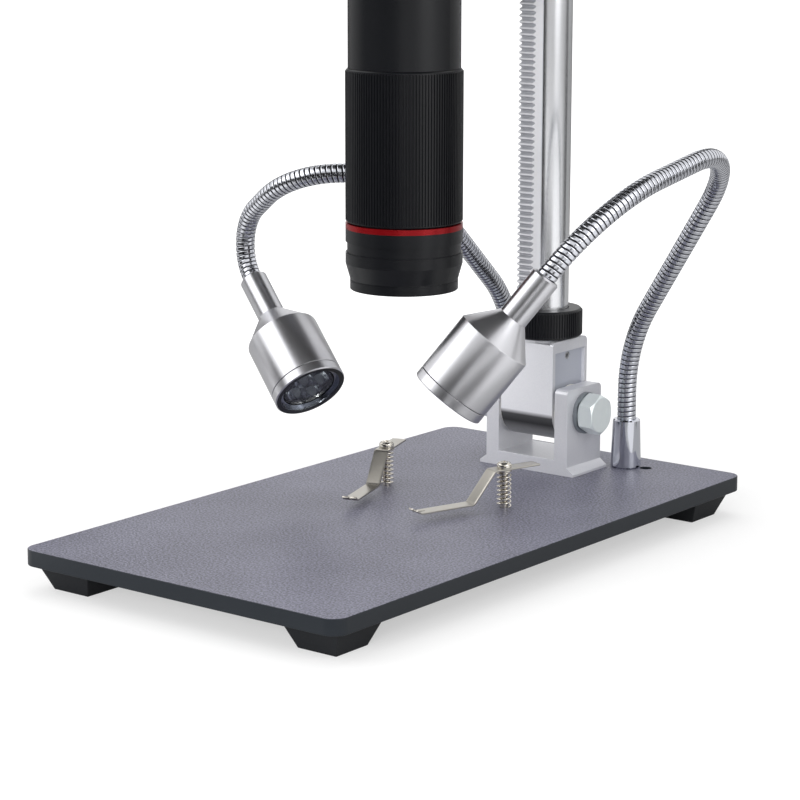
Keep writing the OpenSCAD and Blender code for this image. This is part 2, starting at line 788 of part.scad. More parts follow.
// Outline of the pinion, with one tooth pointing at the rack.
module pinion_outline() {
    step = 360 / pinion_teeth;
    polygon([for (i = [0 : pinion_teeth - 1], side = [-1, 1], k = [0 : 4])
        let (point = pinion_tooth[side < 0 ? k : 4 - k],
             r = pinion_r + point[0] * tooth_module,
             a = i * step + side * point[1] * tooth_module / r * 180 / PI)
        [r * cos(a), r * sin(a)]]);
}

module pinion_shaft() {
    reach = carriage_w / 2 + 1 + knob_w - 3;
    color("#c2a35e") translate([0, pinion_y, pinion_z]) {
        translate([-rack_w / 2, 0, 0]) rotate([90, 0, 90])
            linear_extrude(rack_w) pinion_outline();
        x_cylinder(shaft_d / 2, 2 * reach);
    }
}

// Focus knob on the right side: ribbed rim, dished face, bored for the shaft.
module focus_knob() {
    r = knob_d / 2;
    color("#232325") translate([carriage_w / 2 + 1, pinion_y, pinion_z]) rotate([0, 90, 0]) difference() {
        union() {
            cylinder(r = r * 0.55, h = 3);
            translate([0, 0, 3]) rotate_extrude() polygon([[0, 0], [r - rib_depth - 0.6, 0],
                [r - rib_depth, 0.6], [r - rib_depth, knob_w - 3.6], [r - rib_depth - 0.6, knob_w - 3],
                [r * 0.7, knob_w - 3], [r * 0.6, knob_w - 4], [0, knob_w - 4]]);
            translate([0, 0, 3 + grip_band]) linear_extrude(knob_w - 3 - 2 * grip_band)
                ribbed_outline(r, 48, rib_depth);
        }
        translate([0, 0, -over]) cylinder(r = shaft_d / 2 + fit, h = knob_w - 3 + over);
    }
}

module right_focus_knob() {
    focus_knob();
}

module left_focus_knob() {
    mirror([1, 0, 0]) focus_knob();
}

// ---------------------------------------------------------------- arm and ring clamp

// Plan outline of the arm: flange to ring, with the ring's bore and slit left out later.
module arm_outline() {
    circle(r = ring_outer);
    translate([-arm_w / 2, 0]) square([arm_w, arm_reach - carriage_reach]);
    translate([-ear_w, -ring_outer - ear_l]) square([2 * ear_w, ear_l + 4]);
}

module head_arm() {
    flange_y = arm_reach - carriage_reach - flange_t;
    color("#2a2b2e") translate([0, barrel_y, 0]) difference() {
        union() {
            translate([0, 0, arm_z]) linear_extrude(arm_h) arm_outline();
            translate([0, flange_y, pinion_z]) rotate([-90, 0, 0])
                linear_extrude(flange_t) round_rect(carriage_w, flange_h, 3);
        }
        translate([0, 0, arm_z - over]) cylinder(r = ring_r, h = arm_h + 2 * over);
        translate([-slit_w / 2, -ring_outer - ear_l - over, arm_z - over])
            cube([slit_w, ring_outer + ear_l + over, arm_h + 2 * over]);
        translate([0, clamp_y - barrel_y, pinion_z])
            x_cylinder(clamp_screw_d / 2 + fit, 2 * ear_w + 2 * over);
        translate([0, flange_y - over, pinion_z]) rotate([-90, 0, 0])
            four_corners(arm_screw_dx, arm_screw_dz) cylinder(r = arm_screw_d / 2 + fit, h = flange_t + 2 * over);
    }
}

module arm_screws() {
    flange_front = column_y - carriage_reach - flange_t;
    color("#3a3a3c") translate([0, flange_front - face_gap, pinion_z]) rotate([-90, 0, 0])
        four_corners(arm_screw_dx, arm_screw_dz)
        cap_screw(arm_screw_d, flange_t + 7, arm_screw_head_d, arm_screw_d);
}

module ring_clamp_screw() {
    color("#232325") translate([0, clamp_y, pinion_z]) {
        x_cylinder(clamp_screw_d / 2, 2 * ear_w + 5, -ear_w - 2);
        x_cylinder(clamp_screw_d / 2 + 2, 2, ear_w + face_gap);
        translate([ear_w + face_gap + 1.5, 0, 0]) rotate([0, 90, 0])
            linear_extrude(clamp_knob_t) ribbed_outline(clamp_knob_d / 2, 16, 1.2);
    }
}

// ---------------------------------------------------------------- camera barrel

module at_barrel(z = 0) {
    translate([0, barrel_y, z]) children();
}

module barrel_body() {
    joint_z = focus_z + focus_h + 0.2;
    color("#2b2c2f") at_barrel() rotate_extrude() polygon([
        [bore_r, trim_z], [tube_r, trim_z], [tube_r, joint_z], [barrel_d / 2, joint_z],
        [barrel_d / 2, barrel_top - 0.8], [barrel_d / 2 - 0.8, barrel_top], [bore_r, barrel_top],
        [bore_r, ledge_z], [bore_r - 4, ledge_z], [bore_r - 4, ledge_z - 3], [bore_r, ledge_z - 5]]);
}

module sensor_board() {
    color("#2f5d3a") at_barrel(ledge_z + face_gap) {
        cylinder(r = bore_r - 0.3, h = 1.6);
        translate([-7, -7, -2]) cube([14, 14, 2.01]);
    }
}

module lens_shroud() {
    r = shroud_r;
    mouth_r = mouth_d / 2;
    z = shroud_z;
    color("#2b2c2f") at_barrel() difference() {
        rotate_extrude() polygon([
            [bore_r + 1.5, z], [mouth_r - 0.3, z], [mouth_r, z + 0.3], [mouth_r, z + 5.2],
            [r, z + 13], [r, z + 18.3], [r - 0.8, z + 18.3], [r - 0.8, z + 23.7],
            [r, z + 23.7], [r, trim_z], [bore_r, trim_z],
            [bore_r, z + 16.4], [15.5, z + 16.4], [15.5, z + 13.4], [bore_r, z + 9.4],
            [bore_r, z + 4], [bore_r + 1.5, z + 3]]);
        translate([0, 0, z + 4.5]) ring(mouth_r + over, mouth_r - 0.3, 0.4);
    }
}

module red_ring() {
    color("#b3262e") at_barrel(trim_z) ring(shroud_r, tube_r + fit, trim_h);
}

// Glass of the objective, bulging downwards from its seat in the shroud.
module objective_lens() {
    seat_z = shroud_z + 16.4;
    color("lightblue") at_barrel() union() {
        translate([0, 0, seat_z + face_gap]) cylinder(r = 17, h = 2.5);
        translate([0, 0, seat_z - 3]) cylinder(r = 15.4, h = 3.1);
    }
}

module focus_ring() {
    r = focus_d / 2;
    color("#26272a") at_barrel(focus_z) difference() {
        union() {
            rotate_extrude() polygon([[0, 0], [r - rib_depth - 0.6, 0], [r - rib_depth, 0.6],
                [r - rib_depth, focus_h - 0.6], [r - rib_depth - 0.6, focus_h], [0, focus_h]]);
            translate([0, 0, grip_band])
                linear_extrude(focus_h - 2 * grip_band) ribbed_outline(r, focus_ribs, rib_depth);
        }
        translate([0, 0, -over]) cylinder(r = tube_r + fit, h = focus_h + 2 * over);
    }
}

// Sliding cell inside the barrel, with its lens as a second solid.
module lens_cell() {
    cell_h = 20;
    cell_z = focus_z + focus_h / 2 - cell_h / 2;
    color("#b08d4f") at_barrel(cell_z) difference() {
        ring(bore_r - fit, 13, cell_h);
        translate([0, 0, cell_h / 2]) cylinder(r = 15, h = cell_h);
    }
    color("lightblue") at_barrel(cell_z + cell_h / 2 + face_gap) cylinder(r = 15 - fit, h = 5);
}

module hinge_base() {
    ear_x = knuckle_w / 2 + 0.3;
    color("#2a2b2e") at_barrel() difference() {
        union() {
            translate([0, 0, barrel_top - 6]) cylinder(r = bore_r - fit, h = 6.5);
            translate([0, 0, barrel_top + face_gap]) rotate_extrude()
                polygon([[0, 0], [barrel_d / 2, 0], [barrel_d / 2, 5], [barrel_d / 2 - 1.5, 6.5], [0, 6.5]]);
            both_sides() translate([ear_x, 0, 0]) {
                translate([0, -knuckle_r, barrel_top + 5])
                    cube([hinge_ear_w, 2 * knuckle_r, hinge_rise - 5]);
                translate([0, 0, hinge_z]) x_cylinder(knuckle_r, hinge_ear_w, 0);
            }
        }
        translate([0, 0, hinge_z]) x_cylinder(hinge_pin_d / 2 + fit, 2 * (ear_x + hinge_ear_w + over));
        translate([0, 0, barrel_top - 6 - over]) cylinder(r = bore_r - 4, h = 8);
    }
}

module hinge_pin() {
    half = knuckle_w / 2 + 0.3 + hinge_ear_w;
    color("silver") at_barrel(hinge_z) {
        x_cylinder(hinge_pin_d / 2, 2 * half + 2);
        both_sides() x_cylinder(hinge_pin_d / 2 + 1.2, 1.2, half + face_gap);
    }
}

// ---------------------------------------------------------------- screen

// Puts a front outline, drawn in X and Z, at a depth and gives it a thickness towards +Y.
module screen_plate(y, t) {
    translate([0, y + t, 0]) rotate([90, 0, 0]) linear_extrude(t) children();
}

module screen_outline(inset = 0) {
    translate([0, screen_z + screen_h / 2])
        round_rect(screen_w - 2 * inset, screen_h - 2 * inset, screen_corner - min(inset, screen_corner - 1));
}

// Children at the four screw bosses of the screen, on the XZ plane.
module at_bosses(y) {
    translate([0, y, screen_z + screen_h / 2]) rotate([-90, 0, 0])
        four_corners(screen_w / 2 - boss_inset, screen_h / 2 - boss_inset) children();
}

module button_row() {
    for (i = [-1.5, -0.5, 0.5, 1.5]) translate([i * button_pitch, 0, 0]) children();
}

module screen_bezel() {
    color("#1c1d20") difference() {
        screen_plate(screen_front, bezel_t) screen_outline();
        screen_plate(screen_front - over, bezel_t + 2 * over)
            translate([0, view_z]) square([view_w, view_h], center = true);
        translate([0, screen_front - over, button_z]) button_row() rotate([-90, 0, 0])
            cylinder(r = button_d / 2 + 0.15, h = bezel_t + 2 * over);
    }
}

module rear_cover() {
    inner_back = cover_back - cover_wall;
    arm_d = 9;
    color("#232427") difference() {
        union() {
            difference() {
                screen_plate(cover_front + face_gap, cover_back - cover_front - face_gap) screen_outline();
                screen_plate(cover_front - over, inner_back - cover_front + over)
                    screen_outline(cover_wall);
            }
            // bosses for the housing screws
            at_bosses(cover_front + 3) cylinder(r = 3.4, h = inner_back - cover_front - 2.9);
            // knuckle of the tilt hinge and its web under the housing
            at_barrel(hinge_z) x_cylinder(knuckle_r, knuckle_w);
            translate([-knuckle_w / 2, barrel_y - arm_d / 2, hinge_z])
                cube([knuckle_w, arm_d, screen_z - hinge_z + 0.5]);
        }
        at_barrel(hinge_z) x_cylinder(hinge_pin_d / 2 + fit, knuckle_w + 2 * over);
        at_bosses(cover_front) cylinder(r = 1.5 + fit, h = cover_back - cover_front + over);
        at_bosses(cover_back - 1.2) cylinder(r = 2.9, h = 1.2 + over);
        // sockets in the right side wall
        for (z = [-30, -10, 10]) translate([screen_w / 2 - cover_wall - over,
            board_y() - socket_t - fit, screen_z + screen_h / 2 + z - 6.2])
            cube([cover_wall + 2 * over, socket_t + 2 * fit, 12.4]);
        // air slots in the back
        for (i = [-4 : 4]) translate([i * 7 - 1, inner_back - over, screen_z + screen_h - 30])
            cube([2, cover_wall + 2 * over, 18]);
    }
}

socket_t = 6;
socket_l = 14;
function board_y() = cover_back - cover_wall - 2.5;

module lcd_panel() {
    color("#101418") screen_plate(cover_front + face_gap, 4) translate([0, view_z])
        square([view_w + 5, view_h + 5], center = true);
}

module main_board() {
    middle = screen_z + screen_h / 2;
    right_end = screen_w / 2 - cover_wall - 1;
    color("#2f5d3a") {
        translate([right_end - board_w, board_y(), middle - board_h / 2]) cube([board_w, 1.6, board_h]);
        for (z = [-30, -10, 10]) translate([screen_w / 2 - socket_l, board_y() - socket_t + 0.01, middle + z - 6])
            cube([socket_l - 0.6, socket_t, 12]);
        for (x = [-1, 1], z = [-1, 1])
            translate([x * post_dx - 1, board_y() + 1.59, middle + z * (board_h / 2 - 2) - 1])
                cube([2, 2.5 - 1.6 - face_gap + 0.01, 2]);
    }
}

module cover_screws() {
    color("#3a3a3c") at_bosses(cover_back - 1.2 - face_gap) difference() {
        union() {
            translate([0, 0, face_gap * 2]) cylinder(r = 2.7, h = 1.1);
            translate([0, 0, -12]) cylinder(r = 1.5, h = 12.2);
        }
        translate([0, 0, 0.7]) cylinder(r = 1, h = 2, $fn = 6);
    }
}

// One push button: cap through the bezel, wider foot behind it.
module push_button(i) {
    color("#4a4b4f") translate([i * button_pitch, screen_front, button_z]) rotate([-90, 0, 0]) {
        translate([0, 0, -1.2]) cylinder(r = button_d / 2, h = bezel_t + 1.3);
        translate([0, 0, bezel_t + 0.05]) cylinder(r = button_d / 2 + 1, h = 1.2);
    }
}

module power_button() {
    push_button(-1.5);
}

module menu_button() {
    push_button(-0.5);
}

module down_button() {
    push_button(0.5);
}

module up_button() {
    push_button(1.5);
}

// ---------------------------------------------------------------- stage clips

// Places the right clip's pieces, drawn on the Z axis with the leaf towards -Y.
module at_right_clip() {
    translate([clip_x, clip_y, 0]) rotate([0, 0, -clip_angle]) children();
}

module at_left_clip() {
    mirror([1, 0, 0]) at_right_clip() children();
}

washer_under = 0.8;
washer_z = leaf_z - leaf_t - washer_under - face_gap;

module clip_screws() {
    head_z = leaf_z + face_gap;
    color("#a9a59b") translate([0, clip_y, 0]) both_sides() translate([clip_x, 0, 0]) difference() {
        union() {
            translate([0, 0, -screw_hole_depth + 0.4])
                cylinder(r = clip_screw_d / 2, h = head_z + screw_hole_depth);
            translate([0, 0, head_z]) rotate_extrude() polygon([[0, 0], [clip_head_d / 2, 0],
                [clip_head_d / 2, clip_head_h * 0.55], [clip_head_d / 2 - 0.7, clip_head_h * 0.85],
                [clip_head_d / 2 - 1.6, clip_head_h], [0, clip_head_h]]);
        }
        for (a = [0, 90]) rotate([0, 0, a + 30])
            translate([-1.9, -0.45, head_z + clip_head_h - 1.4]) cube([3.8, 0.9, 2]);
    }
}

module clip_washer() {
    color("#b4b0a6") translate([0, 0, washer_z])
        ring(spring_d / 2, clip_screw_d / 2 + fit, washer_under);
}

// Points of a circle of the wire, swept along the helix of the spring.
function wire_point(turn, side) =
    let (a = 360 * turn, b = 360 * side,
         mid = (spring_d - wire_d) / 2 + wire_d / 2 * cos(b),
         rise = wire_d / 2 + turn / spring_turns * (washer_z - 2 * face_gap - wire_d))
    [mid * cos(a), mid * sin(a), face_gap + rise + wire_d / 2 * sin(b)];

module clip_spring() {
    sides = 6;
    steps = 12 * spring_turns;
    color("#b9b6ad") polyhedron(
        points = [for (i = [0 : steps], k = [0 : sides - 1]) wire_point(i / 12, k / sides)],
        faces = concat(
            [[for (k = [0 : sides - 1]) k]],
            [for (i = [0 : steps - 1], k = [0 : sides - 1])
                let (n = (k + 1) % sides, p = i * sides)
                [p + k, p + sides + k, p + sides + n, p + n]],
            [[for (k = [sides - 1 : -1 : 0]) steps * sides + k]]));
}

// Side outline of a leaf of constant thickness: level, slope, low flat, lip.
module leaf_side() {
    drop = atan((leaf_z - leaf_low) / leaf_slope);
    y1 = -leaf_level;
    y2 = y1 - leaf_slope;
    y3 = y2 - leaf_flat;
    tip = [y3 - leaf_lip * cos(lip_angle), leaf_low + leaf_lip * sin(lip_angle)];
    fold = leaf_t * tan(drop / 2);
    polygon([
        [leaf_tail, leaf_z], [y1, leaf_z], [y2, leaf_low], [y3, leaf_low], tip,
        tip + leaf_t * [-sin(lip_angle), -cos(lip_angle)],
        [y3 - leaf_t * tan(lip_angle / 2), leaf_low - leaf_t],
        [y2 + fold, leaf_low - leaf_t], [y1 + fold, leaf_z - leaf_t], [leaf_tail, leaf_z - leaf_t]]);
}

module clip_leaf() {
    front = leaf_level + leaf_slope + leaf_flat + leaf_lip + 2;
    color("#aaa69c") difference() {
        intersection() {
            rotate([90, 0, 90]) translate([0, 0, -leaf_w / 2]) linear_extrude(leaf_w) leaf_side();
            linear_extrude(leaf_z + 5) {
                translate([-leaf_w / 2, -front]) square([leaf_w, front + leaf_tail - leaf_w / 2]);
                translate([0, leaf_tail - leaf_w / 2]) circle(r = leaf_w / 2);
            }
        }
        translate([0, 0, leaf_z - leaf_t - over]) cylinder(r = clip_screw_d / 2 + fit, h = leaf_t + 2 * over);
        translate([-0.6, -front, 0]) cube([1.2, 9, leaf_z]);
    }
}

module right_clip_washer() {
    at_right_clip() clip_washer();
}

module right_clip_spring() {
    at_right_clip() clip_spring();
}

module right_clip_leaf() {
    at_right_clip() clip_leaf();
}

module left_clip_washer() {
    at_left_clip() clip_washer();
}

module left_clip_spring() {
    at_left_clip() clip_spring();
}

module left_clip_leaf() {
    at_left_clip() clip_leaf();
}

// ---------------------------------------------------------------- flexible arms and lamps

// Children at the lower bend point of an arm; side is 1 for right and -1 for left.
module at_bend(side) {
    translate([side * sleeve_x, sleeve_y, sleeve_h + arm_rise]) children();
}

module gooseneck_lower(side) {
    root_z = sleeve_floor + face_gap;
    color("#a9abae") {
        translate([side * sleeve_x, sleeve_y, root_z]) cylinder(r = arm_r, h = sleeve_h + arm_rise - root_z);
        at_bend(side) sphere(r = ball_r);
    }
}

module gooseneck_middle(path) {
    color("#a9abae") {
        difference() {
            bent_bar(path, arm_r);
            sphere(r = ball_r + ball_gap);
        }
        follow(path) sphere(r = ball_r);
    }
}

module gooseneck_upper(path) {
    color("#a9abae") difference() {
        bent_bar(concat(path, [[arm_plug, 0, 0, 0]]), arm_r);
        sphere(r = ball_r + ball_gap);
    }
}

// Lamp body, drawn along +Z from its neck to its bezel.
module lamp_head() {
    cone_z = lamp_neck_l;
    body_z = cone_z + lamp_cone_l;
    end_z = body_z + lamp_body_l;
    color("#b9bbbd") difference() {
        rotate_extrude() polygon([
            [0, 0], [lamp_neck_d / 2 - 0.8, 0], [lamp_neck_d / 2, 0.8], [lamp_neck_d / 2, cone_z],
            [lamp_d / 2 - 0.8, body_z - 0.5], [lamp_d / 2, body_z + 0.6], [lamp_d / 2, end_z], [0, end_z]]);
        translate([0, 0, -over]) cylinder(r = arm_r + fit, h = arm_plug + 0.5 + over);
        translate([0, 0, lamp_seat_z()]) cylinder(r = lamp_mouth_d / 2 - 1, h = lamp_body_l);
    }
}

// Depth of the lens seat in the lamp body.
function lamp_seat_z() = lamp_neck_l + lamp_cone_l + lamp_body_l - 12;

module lamp_bezel() {
    z = lamp_neck_l + lamp_cone_l + lamp_body_l + lamp_joint;
    color("#b9bbbd") difference() {
        translate([0, 0, z]) union() {
            rotate_extrude() polygon([[0, 0], [lamp_d / 2, 0], [lamp_d / 2, lamp_bezel_l - 0.6],
                [lamp_d / 2 - 0.6, lamp_bezel_l], [0, lamp_bezel_l]]);
            translate([0, 0, -3.5]) cylinder(r = lamp_mouth_d / 2 - 1 - fit, h = 3.6);
        }
        translate([0, 0, z - 5]) cylinder(r = lamp_lens_d / 2 + 0.3, h = 12);
        translate([0, 0, z + lamp_bezel_l - 2.2]) cylinder(r = lamp_mouth_d / 2, h = 4);
    }
}

// Lens with a dished front, standing on the seat in the lamp body.
module lamp_lens() {
    z = lamp_seat_z() + face_gap;
    top = lamp_neck_l + lamp_cone_l + lamp_body_l + lamp_joint + lamp_bezel_l - 1.6;
    r = lamp_lens_d / 2;
    color("#dfe8ee") rotate_extrude() polygon([
        [0, z], [5, z], [r, top - 3], [r, top], [r - 1, top], [4, top - 2.5], [0, top - 2.5]]);
}

module right_gooseneck_lower() {
    gooseneck_lower(1);
}

module right_gooseneck_middle() {
    at_bend(1) gooseneck_middle(right_middle);
}

module right_gooseneck_upper() {
    at_bend(1) follow(right_middle) gooseneck_upper(right_upper);
}

module at_right_lamp() {
    at_bend(1) follow(concat(right_middle, right_upper)) children();
}

module right_lamp_head() {
    at_right_lamp() lamp_head();
}

module right_lamp_bezel() {
    at_right_lamp() lamp_bezel();
}

module right_lamp_lens() {
    at_right_lamp() lamp_lens();
}

module left_gooseneck_lower() {
    gooseneck_lower(-1);
}

module left_gooseneck_middle() {
    at_bend(-1) gooseneck_middle(left_middle);
}

module left_gooseneck_upper() {
    at_bend(-1) follow(left_middle) gooseneck_upper(left_upper);
}

module at_left_lamp() {
    at_bend(-1) follow(concat(left_middle, left_upper)) children();
}

module left_lamp_head() {
    at_left_lamp() lamp_head();
}

module left_lamp_bezel() {
    at_left_lamp() lamp_bezel();
}

module left_lamp_lens() {
    at_left_lamp() lamp_lens();
}

base_plate();
rubber_feet();
base_screws();
stand_bracket();
gooseneck_sleeves();
pivot_bolt();
pivot_nut();
bolt_washers();
friction_washers();
clip_screws();
right_clip_washer();
right_clip_spring();
right_clip_leaf();
left_clip_washer();
left_clip_spring();
left_clip_leaf();
tilt_block();
grub_screws();
clamp_collar();
column();
gear_rack();
column_cap();
carriage_housing();
carriage_bushes();
head_arm();
arm_screws();
ring_clamp_screw();
pinion_shaft();
right_focus_knob();
left_focus_knob();
barrel_body();
sensor_board();
lens_shroud();
red_ring();
objective_lens();
hinge_base();
hinge_pin();
focus_ring();
lens_cell();
rear_cover();
screen_bezel();
lcd_panel();
main_board();
cover_screws();
power_button();
menu_button();
down_button();
up_button();
right_gooseneck_lower();
right_gooseneck_middle();
right_gooseneck_upper();
right_lamp_head();
right_lamp_bezel();
right_lamp_lens();
left_gooseneck_lower();
left_gooseneck_middle();
left_gooseneck_upper();
left_lamp_head();
left_lamp_bezel();
left_lamp_lens();
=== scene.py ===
"""Dressed model of an LCD digital microscope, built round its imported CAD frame.

Each sub-assembly is a class. It holds its sizes, builds its meshes with bmesh operators and
dresses them and the CAD nodes that it keeps. Each finish is a frozen dataclass that builds its
own material. Lengths are in millimetres and angles in degrees, unless a name says otherwise.
The origin is the centre of the stage, the plate's top face: X right, Y to the rear, Z up.
"""

from __future__ import annotations

import json
import logging
import math
from dataclasses import dataclass, field
from enum import Enum
from functools import cached_property
from typing import Any, Callable, Iterable, Mapping, Sequence

import bmesh
import bpy
from mathutils import Euler, Matrix, Vector

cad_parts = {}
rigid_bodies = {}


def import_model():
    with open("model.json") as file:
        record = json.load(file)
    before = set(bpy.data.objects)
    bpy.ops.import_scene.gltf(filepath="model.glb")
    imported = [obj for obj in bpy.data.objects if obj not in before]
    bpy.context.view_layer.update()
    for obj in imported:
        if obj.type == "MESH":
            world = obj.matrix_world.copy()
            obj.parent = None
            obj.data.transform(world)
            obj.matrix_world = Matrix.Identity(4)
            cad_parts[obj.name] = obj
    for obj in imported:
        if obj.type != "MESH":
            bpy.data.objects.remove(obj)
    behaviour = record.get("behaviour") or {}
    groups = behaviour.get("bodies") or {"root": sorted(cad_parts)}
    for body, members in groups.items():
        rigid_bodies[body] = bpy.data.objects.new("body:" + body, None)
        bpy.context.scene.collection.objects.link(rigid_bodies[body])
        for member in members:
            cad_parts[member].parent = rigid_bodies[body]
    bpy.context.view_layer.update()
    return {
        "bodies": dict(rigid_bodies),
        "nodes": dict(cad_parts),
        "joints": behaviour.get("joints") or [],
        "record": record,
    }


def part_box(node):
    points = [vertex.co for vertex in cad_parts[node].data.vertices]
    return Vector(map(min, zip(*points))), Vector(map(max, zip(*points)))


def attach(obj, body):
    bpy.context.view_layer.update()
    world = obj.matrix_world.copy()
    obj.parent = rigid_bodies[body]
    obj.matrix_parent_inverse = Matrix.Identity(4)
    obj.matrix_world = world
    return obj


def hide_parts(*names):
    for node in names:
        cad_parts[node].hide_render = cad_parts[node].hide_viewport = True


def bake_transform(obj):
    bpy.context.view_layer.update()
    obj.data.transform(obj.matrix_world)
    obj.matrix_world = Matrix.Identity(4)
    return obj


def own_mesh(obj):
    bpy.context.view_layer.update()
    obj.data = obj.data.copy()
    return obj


LOG = logging.getLogger("microscope")
MM = 0.001
# A fold of more degrees than this stays sharp in the shading.
SMOOTH_ANGLE = 32.0
# A fold of more degrees than this is rounded on the copy of a CAD node.
ROUNDED_FOLD = 40.0
# Triangles of a CAD node are joined across a fold of fewer degrees than this.
FLAT_FOLD = 0.5
# Corners that lie nearer than this are merged on a new mesh, and on the copy of a CAD node.
NEW_MERGE = 0.001
CAD_MERGE = 0.002
# Lengths that differ by less than this count as the same.
NEAR = 0.01
# Noise lies between these values nearly everywhere.
NOISE_LOW = 0.3
NOISE_HIGH = 0.7
# Octaves of finer noise in grain, in lines, and in smudges and drifts of colour.
GRAIN_DETAIL = 1.5
LINE_DETAIL = 2.0
CLOUD_DETAIL = 3.0
# Lowest roughness that a smudge may leave.
LEAST_ROUGHNESS = 0.02

Point = tuple[float, float]
Socket = bpy.types.NodeSocket
FaceTest = Callable[[bmesh.types.BMFace], bool]


# ------------------------------------------------------------------ small tools


def linear(hex_colour: str) -> tuple[float, float, float, float]:
    """Turns an sRGB hex colour into the linear colour that shaders take.

    Args:
        hex_colour: Colour such as "#3a3b40".

    Returns:
        Red, green, blue and an alpha of 1.
    """
    parts = [int(hex_colour[i : i + 2], 16) / 255 for i in (1, 3, 5)]
    turned = [c / 12.92 if c <= 0.04045 else ((c + 0.055) / 1.055) ** 2.4 for c in parts]
    return (turned[0], turned[1], turned[2], 1.0)


def add_node(
    tree: bpy.types.NodeTree,
    kind: str,
    settings: Mapping[str | int, Any] | None = None,
    links: Mapping[str | int, Socket] | None = None,
) -> bpy.types.Node:
    """Adds a node to a material or world.

    Args:
        tree: Node tree that gets the node.
        kind: Blender's name of the node type.
        settings: Values by attribute name, input name or input number.
        links: Output sockets by the input that they feed.

    Returns:
        The new node.
    """
    node = tree.nodes.new(kind)
    for key, value in (settings or {}).items():
        if isinstance(key, str) and hasattr(node, key):
            setattr(node, key, value)
        else:
            node.inputs[key].default_value = value
    for key, socket in (links or {}).items():
        tree.links.new(socket, node.inputs[key])
    return node


# ------------------------------------------------------------------ finishes


class Lay(Enum):
    """Direction of the fine lines that a cutting tool or a drawing die leaves."""

    AROUND = "around the piece's axis"
    ALONG = "along the piece's axis"


@dataclass(frozen=True)
class Axis:
    """Centre line of a turned or drawn piece.

    Attributes:
        point: A point on it.
        direction: Where it points.
    """

    point: tuple[float, float, float] = (0.0, 0.0, 0.0)
    direction: tuple[float, float, float] = (0.0, 0.0, 1.0)

    def turn(self) -> Euler:
        """Returns the rotation that brings +Z onto the axis."""
        return Vector(self.direction).to_track_quat("Z", "Y").to_euler()


@dataclass(frozen=True)
class Finish:
    """A smooth coat or polish: one colour, with slight smudges in its gloss.

    Attributes:
        name: Name of the material.
        slot: Material slot of the frame that it stands for; not used.
        colour: Its colour, in sRGB hex.
        roughness: Its mean roughness.
        metallic: How far it is a metal, from 0 to 1.
        smudge: How far the roughness swings to each side.
        smudge_size: Size of a smudge.
        gloss: Specular level of a surface that isn't a metal.
    """

    name: str
    slot: str
    colour: str
    roughness: float
    metallic: float = 0.0
    smudge: float = 0.04
    smudge_size: float = 18.0
    gloss: float = 0.5

    def material(self) -> bpy.types.Material:
        """Builds the material once and returns it.

        Returns:
            The Blender material of this finish.
        """
        found = bpy.data.materials.get(self.name)
        if found:
            return found
        made = bpy.data.materials.new(self.name)
        made.use_nodes = True
        tree = made.node_tree
        tree.nodes.clear()
        shader = add_node(
            tree,
            "ShaderNodeBsdfPrincipled",
            {"Base Color": linear(self.colour), "Metallic": self.metallic, "Roughness": self.roughness,
             "Specular IOR Level": self.gloss},
        )
        self.pattern(tree, shader)
        add_node(tree, "ShaderNodeOutputMaterial", links={"Surface": shader.outputs["BSDF"]})
        made.diffuse_color = linear(self.colour)
        return made

    def pattern(self, tree: bpy.types.NodeTree, shader: bpy.types.Node) -> None:
        """Adds what varies over the surface: here, smudges in the gloss.

        Args:
            tree: Node tree of the material.
            shader: Its Principled shader.
        """
        smudges = self.noise(tree, self.smudge_size, CLOUD_DETAIL)
        self.spread_roughness(tree, shader, smudges, self.smudge)

    def noise(self, tree: bpy.types.NodeTree, size: float, detail: float) -> Socket:
        """Adds noise whose spots have a real size.

        Args:
            tree: Node tree of the material.
            size: Size of a spot.
            detail: Octaves of finer noise.

        Returns:
            The noise's value, from 0 to 1.
        """
        place = add_node(tree, "ShaderNodeTexCoord").outputs["Object"]
        settings = {"Scale": 1 / (size * MM), "Detail": detail}
        return add_node(tree, "ShaderNodeTexNoise", settings, {"Vector": place}).outputs["Fac"]

    def spread_roughness(
        self, tree: bpy.types.NodeTree, shader: bpy.types.Node, value: Socket, spread: float
    ) -> None:
        """Lets noise swing the roughness.

        Args:
            tree: Node tree of the material.
            shader: Its Principled shader.
            value: Noise, from 0 to 1.
            spread: How far the roughness swings to each side.
        """
        low, high = max(self.roughness - spread, LEAST_ROUGHNESS), self.roughness + spread
        swing = add_node(
            tree, "ShaderNodeMapRange",
            {"From Min": NOISE_LOW, "From Max": NOISE_HIGH, "To Min": low, "To Max": high},
            {"Value": value},
        )
        tree.links.new(swing.outputs["Result"], shader.inputs["Roughness"])


